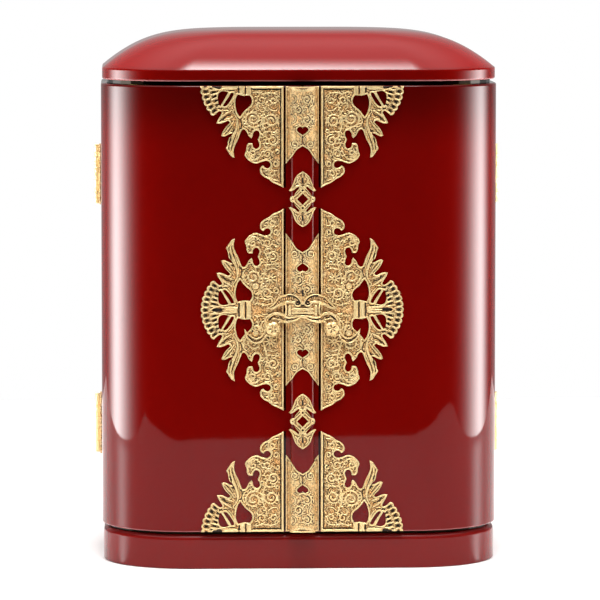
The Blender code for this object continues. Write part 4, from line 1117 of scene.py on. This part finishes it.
def make_hinges(gilt):
    """Two hinges a side: a leaf on the shell with the pin, and a leaf on the door that turns about it."""
    upper = join_runs(HINGE_RUNS, 0.6)
    lower = (np.vstack((upper, [(15, 0)])) * (1, -1))[::-1][:-1]
    ends = ((9.9, -HINGE_HALF), (2.7, -HINGE_HALF), (2.7, HINGE_HALF), (9.9, HINGE_HALF))
    below, beside, above = (smooth_run(pair, 0.6)[1:] for pair in zip(ends, ends[1:]))
    loop = np.vstack((lower, ends[:1], below, beside, above[:-1], upper))
    loop = np.vstack((loop[:1], loop[1:][np.linalg.norm(np.diff(loop, axis=0), axis=1) > 0.05]))[::-1]
    work = hinge_work()
    flat, faces, distance = fill([loop], 0.5, (0.14, 0.34, 0.62, 0.95, 1.25), work.guides())
    heights, tones = work.carve(flat, rim_height(distance, 1.18, 0.72), 1.18, 0.72, 0.15, 0.2)
    for side, word in ((-1, "left"), (1, "right")):
        for place, level in HINGE_LEVELS:
            for direction, leaf, body in ((-1, "door", word + "_leaf"), (1, "shell", "case")):
                points, shapes, shades = sheet_parts(
                    flat, faces if side * direction > 0 else faces[:, ::-1], heights,
                    lambda u, v, h: np.column_stack((side * (HALF_WIDTH + CLEARANCE + h), direction * u,
                                                     level + v)),
                    tones)
                for more, more_faces in hinge_knuckles(side, direction, level):
                    shapes += [tuple(i + len(points) for i in face) for face in more_faces]
                    points = np.vstack((points, more))
                    shades = np.concatenate((shades, np.full(len(more), 0.8)))
                name = "hinge_" + leaf + "_" + word + "_" + place
                make_object(name + "_worked", points, shapes, [gilt], body, (name,),
                            tones=shades,
                            sharp=50)

# Materials

def node(tree, kind, **values):
    made = tree.nodes.new(kind)
    for name, value in values.items():
        setattr(made, name, value)
    return made

def wire(tree, value, socket):
    if isinstance(value, (int, float, tuple)):
        socket.default_value = value
    elif value is not None:
        tree.links.new(value, socket)

def math_node(tree, operation, first, second=None):
    made = node(tree, "ShaderNodeMath", operation=operation)
    for socket, value in zip(made.inputs, (first, second)):
        wire(tree, value, socket)
    return made.outputs[0]

def ramp(tree, value, low, high, start=0.0, end=1.0):
    made = node(tree, "ShaderNodeMapRange", interpolation_type="SMOOTHSTEP")
    wire(tree, value, made.inputs["Value"])
    for name, number in (("From Min", low), ("From Max", high), ("To Min", start), ("To Max", end)):
        made.inputs[name].default_value = number
    return made.outputs["Result"]

def blend(tree, share, first, second):
    made = node(tree, "ShaderNodeMix", data_type="RGBA")
    wire(tree, share, made.inputs[0])
    wire(tree, first, made.inputs[6])
    wire(tree, second, made.inputs[7])
    return made.outputs[2]

def noise(tree, place, scale, detail=3.0, roughness=0.5):
    made = node(tree, "ShaderNodeTexNoise")
    wire(tree, place, made.inputs["Vector"])
    for name, number in (("Scale", scale), ("Detail", detail), ("Roughness", roughness)):
        made.inputs[name].default_value = number
    return made.outputs["Fac"]

def new_material(name):
    material = bpy.data.materials.new(name)
    material.use_nodes = True
    return material, material.node_tree, material.node_tree.nodes["Principled BSDF"]

def place_of(tree, kind="Object"):
    """A point's place and its three coordinates."""
    place = node(tree, "ShaderNodeTexCoord").outputs[kind]
    split = node(tree, "ShaderNodeSeparateXYZ")
    tree.links.new(place, split.inputs[0])
    return (place, *split.outputs)

def dress(tree, shader, values):
    for name, value in values.items():
        wire(tree, value, shader.inputs[name])

def between(tree, value, low, high, soft):
    """1 between two limits and 0 outside them, with soft ends."""
    return math_node(tree, "MULTIPLY", ramp(tree, value, low - soft, low),
                     ramp(tree, value, high + soft, high))

def lacquer():
    """Red lacquer, painted lighter on the roof as light from above, with painted shade at the doors' tops
    under the roof and near-black painted shade along the fittings' edges.
    """
    material, tree, shader = new_material("red_lacquer")
    place, x, y, z = place_of(tree)
    colour = blend(tree, noise(tree, place, 18.0, 4), (0.152, 0.0012, 0.0006, 1), (0.171, 0.0020, 0.0010, 1))
    # painted light: the roof's red is painted lighter, as if lit from above
    colour = blend(tree, ramp(tree, z, 0.3155, 0.3200), colour, (0.262, 0.0035, 0.0030, 1))
    # painted shade: the doors' red darkens towards their tops, under the roof
    under_roof_painted_shade = product(tree, ramp(tree, z, 0.2620, 0.3075), ramp(tree, z, 0.3095, 0.3080), 0.52)
    # painted shade: near black in the narrow gaps between the strip's caps and the fittings, where shade falls
    up = math_node(tree, "ABSOLUTE", math_node(tree, "SUBTRACT", z, DOOR_MIDDLE * MM))
    fitted = math_node(tree, "MAXIMUM", ramp(tree, up, 0.0648, 0.0638), ramp(tree, up, 0.0770, 0.0780))
    beside = between(tree, math_node(tree, "ABSOLUTE", x), 0.01035, 0.0119, 0.0002)
    seam = product(tree, beside, fitted, ramp(tree, y, -0.0880, -0.0885), ramp(tree, up, 0.1421, 0.1418),
                   0.93)
    # both painted shades darken the red to near black
    colour = blend(tree, math_node(tree, "MAXIMUM", under_roof_painted_shade, seam), colour, (0.004, 0.0006, 0.0003, 1))
    # painted glints: the red painted lighter along the roof's and the doors' lower edges, and the base painted
    # a little browner and lighter as a painted reflection
    wear_and_painted_light = math_node(tree, "MAXIMUM", between(tree, z, 0.3098, 0.3107, 0.0003),
                     product(tree, between(tree, z, 0.0236, 0.0243, 0.0003), 0.7))
    colour = blend(tree, wear_and_painted_light, colour, (0.46, 0.17, 0.17, 1))
    # painted reflection: the base's red painted lighter and browner
    colour = blend(tree, ramp(tree, z, 0.0225, 0.0215), colour, (0.19, 0.008, 0.007, 1))
    dress(tree, shader, {"Base Color": colour, "Roughness": 0.5, "Specular IOR Level": 0.0,
                         "Coat Weight": 1.0, "Coat Roughness": 0.03, "Coat IOR": 1.29})
    return material

def gilding():
    """Gilt brass: bright rubbed tops, a matt punched ground and near-black painted shade in the grooves and
    pits.
    """
    material, tree, shader = new_material("gilt_brass")
    place = node(tree, "ShaderNodeTexCoord").outputs["Object"]
    relief = node(tree, "ShaderNodeAttribute", attribute_name="relief").outputs["Fac"]
    high = ramp(tree, relief, 0.02, 0.9)
    # painted shade: relief below zero, in grooves, sunk lines and pits, is painted near black
    cut_painted_shade = ramp(tree, relief, -0.02, -0.4)
    warm = noise(tree, place, 240, 4, 0.6)
    patch = noise(tree, place, 800, 3, 0.7)
    punches = node(tree, "ShaderNodeTexVoronoi", feature="F1")
    tree.links.new(place, punches.inputs["Vector"])
    punches.inputs["Scale"].default_value = 950
    grain = punches.outputs["Distance"]
    ground = blend(tree, ramp(tree, warm, 0.3, 0.7), (0.97, 0.52, 0.17, 1), (1.0, 0.74, 0.36, 1))
    umber = (0.30, 0.12, 0.02, 1)
    wear_and_painted_light = ramp(tree, patch, 0.36, 0.50, 0.3, 1.0)
    ground = blend(tree, wear_and_painted_light, umber, ground)
    ground = blend(tree, ramp(tree, grain, 0.45, 0.72, 0.0, 0.85), ground, umber)
    metal = blend(tree, warm, (1.0, 0.68, 0.27, 1), (1.0, 0.83, 0.47, 1))
    colour = blend(tree, high, ground, metal)
    colour = blend(tree, cut_painted_shade, colour, (0.014, 0.004, 0.001, 1))
    dress(tree, shader, {"Base Color": colour, "Metallic": ramp(tree, relief, 0, 1, 0.12, 0.42),
                         "Roughness": ramp(tree, relief, 0, 1, 0.45, 0.24), "Specular IOR Level": 0.5})
    lumps = noise(tree, place, 700, 2, 0.6)
    bump = node(tree, "ShaderNodeBump")
    tree.links.new(math_node(tree, "SUBTRACT", lumps, grain), bump.inputs["Height"])
    tree.links.new(ramp(tree, relief, 0.1, 0.9, 0.9, 0.4), bump.inputs["Strength"])
    bump.inputs["Distance"].default_value = 0.0008
    tree.links.new(bump.outputs["Normal"], shader.inputs["Normal"])
    return material

def gold_leaf():
    """Bright leaf inside the room, and near-black painted shade on the boards' outer edges in the gaps."""
    material, tree, shader = new_material("gold_leaf_gilding")
    place, _, _, z = place_of(tree)
    patch = noise(tree, place, 30, 3)
    colour = blend(tree, patch, (0.62, 0.40, 0.08, 1), (0.78, 0.56, 0.16, 1))
    # painted shade: the boards' edges in the gaps above the base and under the roof painted near black
    gaps = math_node(tree, "MAXIMUM", ramp(tree, z, 0.0240, 0.0237), ramp(tree, z, 0.3074, 0.3076))
    colour = blend(tree, gaps, colour, (0.006, 0.004, 0.002, 1))
    dress(tree, shader, {"Base Color": colour, "Metallic": 1.0, "Roughness": 0.2})
    return material

# The studio

# Each side's soft box: its azimuth from the front, its fall towards the front and the back, its brightness.
# A pool is the light beside the case on the table, along a slope from the case's corner.
LEFT_BOX = (108.5, 14, 10.2, 29)
RIGHT_BOX = (104, 14.3, 9.3, 27)
OVERHEAD = 3.0
LAMP = 60
LAMP_ELEVATION = 74
LAMP_SPREAD = 5
BACKDROP = 0.5
ROOM = 0.02
POOL = 5.0
POOL_CORNER = (0.115, -0.067)
POOL_SLOPE = 0.18
POOL_SPREAD = 0.2

def bell(tree, angle, box):
    """A soft box's brightness over an angle, falling off differently on its two sides."""
    centre, low, high, power = box
    off = math_node(tree, "SUBTRACT", angle, float(centre))
    below = math_node(tree, "DIVIDE", math_node(tree, "MINIMUM", off, 0.0), float(low))
    above = math_node(tree, "DIVIDE", math_node(tree, "MAXIMUM", off, 0.0), float(high))
    share = math_node(tree, "ADD", below, above)
    squared = math_node(tree, "MULTIPLY", math_node(tree, "MULTIPLY", share, share), -0.5)
    return math_node(tree, "MULTIPLY", math_node(tree, "EXPONENT", squared), float(power))

def add_up(tree, *values):
    total = values[0]
    for value in values[1:]:
        total = math_node(tree, "ADD", total, value)
    return total

def product(tree, *values):
    total = values[0]
    for value in values[1:]:
        total = math_node(tree, "MULTIPLY", total, value)
    return total

def make_world():
    """White to the camera, and to every other ray a dark room with soft boxes beside, above and in front."""
    world = bpy.data.worlds.new("studio")
    bpy.context.scene.world = world
    world.use_nodes = True
    tree = world.node_tree
    tree.nodes.clear()
    place, x, y, z = place_of(tree, "Generated")
    degrees = 180 / math.pi
    ahead = math_node(tree, "MULTIPLY", y, -1.0)
    azimuth = math_node(tree, "MULTIPLY", math_node(tree, "ARCTAN2", math_node(tree, "ABSOLUTE", x), ahead),
                        degrees)
    elevation = math_node(tree, "MULTIPLY", math_node(tree, "ARCSINE", z), degrees)
    on_left = math_node(tree, "LESS_THAN", x, 0.0)
    on_right = math_node(tree, "SUBTRACT", 1.0, on_left)
    sides = add_up(tree, product(tree, bell(tree, azimuth, LEFT_BOX), on_left),
                   product(tree, bell(tree, azimuth, RIGHT_BOX), on_right))
    sides = product(tree, sides, ramp(tree, elevation, 2.5, -4.5))
    above = product(tree, ramp(tree, elevation, 34, 50), ramp(tree, azimuth, 110, 80), OVERHEAD)
    behind = product(tree, ramp(tree, elevation, 32, 75), ramp(tree, azimuth, 80, 110), OVERHEAD)
    back = product(tree, ramp(tree, azimuth, 122, 150), ramp(tree, elevation, 60, 30), BACKDROP)
    rise = math.radians(LAMP_ELEVATION)
    towards = node(tree, "ShaderNodeVectorMath", operation="DOT_PRODUCT")
    tree.links.new(place, towards.inputs[0])
    towards.inputs[1].default_value = (0, -math.cos(rise), math.sin(rise))
    off = math_node(tree, "SUBTRACT", towards.outputs["Value"], 1.0)
    sharpness = 1 / math.radians(LAMP_SPREAD) ** 2
    lamp = product(tree, math_node(tree, "EXPONENT", product(tree, off, sharpness)), float(LAMP))
    seen = node(tree, "ShaderNodeLightPath").outputs["Is Camera Ray"]
    studio = node(tree, "ShaderNodeBackground")
    tree.links.new(add_up(tree, sides, above, behind, back, lamp, ROOM), studio.inputs["Strength"])
    plain = node(tree, "ShaderNodeBackground")
    plain.inputs["Color"].default_value = (1, 1, 1, 1)
    mix = node(tree, "ShaderNodeMixShader")
    tree.links.new(seen, mix.inputs[0])
    tree.links.new(studio.outputs[0], mix.inputs[1])
    tree.links.new(plain.outputs[0], mix.inputs[2])
    out = node(tree, "ShaderNodeOutputWorld")
    tree.links.new(mix.outputs[0], out.inputs["Surface"])

def make_camera():
    data = bpy.data.cameras.new("camera")
    data.sensor_width = SENSOR
    data.lens = FOCAL_PIXELS * SENSOR / FRAME_PIXELS
    camera = bpy.data.objects.new("camera", data)
    bpy.context.scene.collection.objects.link(camera)
    camera.location = CAMERA_PLACE
    camera.rotation_euler = (math.radians(90 - CAMERA_DIP), 0, math.radians(-CAMERA_TURN))
    data.clip_start, data.clip_end = 0.05, 60
    bpy.context.scene.camera = camera

def make_floor():
    material, tree, shader = new_material("table_paper")
    _, x, y, _ = place_of(tree)
    # painted light: the table glows in a pool beside each side of the case, standing in for the soft boxes'
    # light on it, which the case's sides reflect
    across = math_node(tree, "SUBTRACT", math_node(tree, "ABSOLUTE", x), POOL_CORNER[0])
    slope = math_node(tree, "DIVIDE", math_node(tree, "SUBTRACT", y, POOL_CORNER[1]),
                      math_node(tree, "MAXIMUM", across, 0.01))
    off = math_node(tree, "DIVIDE", math_node(tree, "SUBTRACT", slope, POOL_SLOPE), POOL_SPREAD)
    pool = math_node(tree, "EXPONENT", product(tree, off, off, -1.0))
    pool = product(tree, pool, ramp(tree, across, 0.006, 0.018), ramp(tree, across, 0.72, 0.58), POOL)
    dress(tree, shader, {"Base Color": (0.86, 0.85, 0.84, 1), "Roughness": 0.9,
                         "Emission Color": (1, 1, 1, 1), "Emission Strength": pool})
    edge = [(-800, 900), (-800, -250), (-877, -500), (-588, -673), (-371, -738), (-100, -787), (225, -827),
            (410, -806), (632, -780), (749, -740), (850, -670), (900, -560), (810, -250), (810, 900)]
    table = make_object("table", [(x, y, 0) for x, y in edge], [tuple(range(len(edge)))], [material])

def main():
    make_camera()
    make_world()
    make_floor()
    red, gilt, leaf = lacquer(), gilding(), gold_leaf()
    for name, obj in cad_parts.items():
        obj.data.materials.clear()
        obj.data.materials.append(leaf if "board" in name else gilt)
    make_base(red)
    make_roof(red)
    make_walls(red, leaf)
    make_strip(red)
    make_fittings(gilt)
    make_caps(gilt)
    make_diamonds(gilt)
    make_clasp(gilt)
    make_hinges(gilt)
    bpy.context.scene.view_settings.view_transform = "Standard"

main()
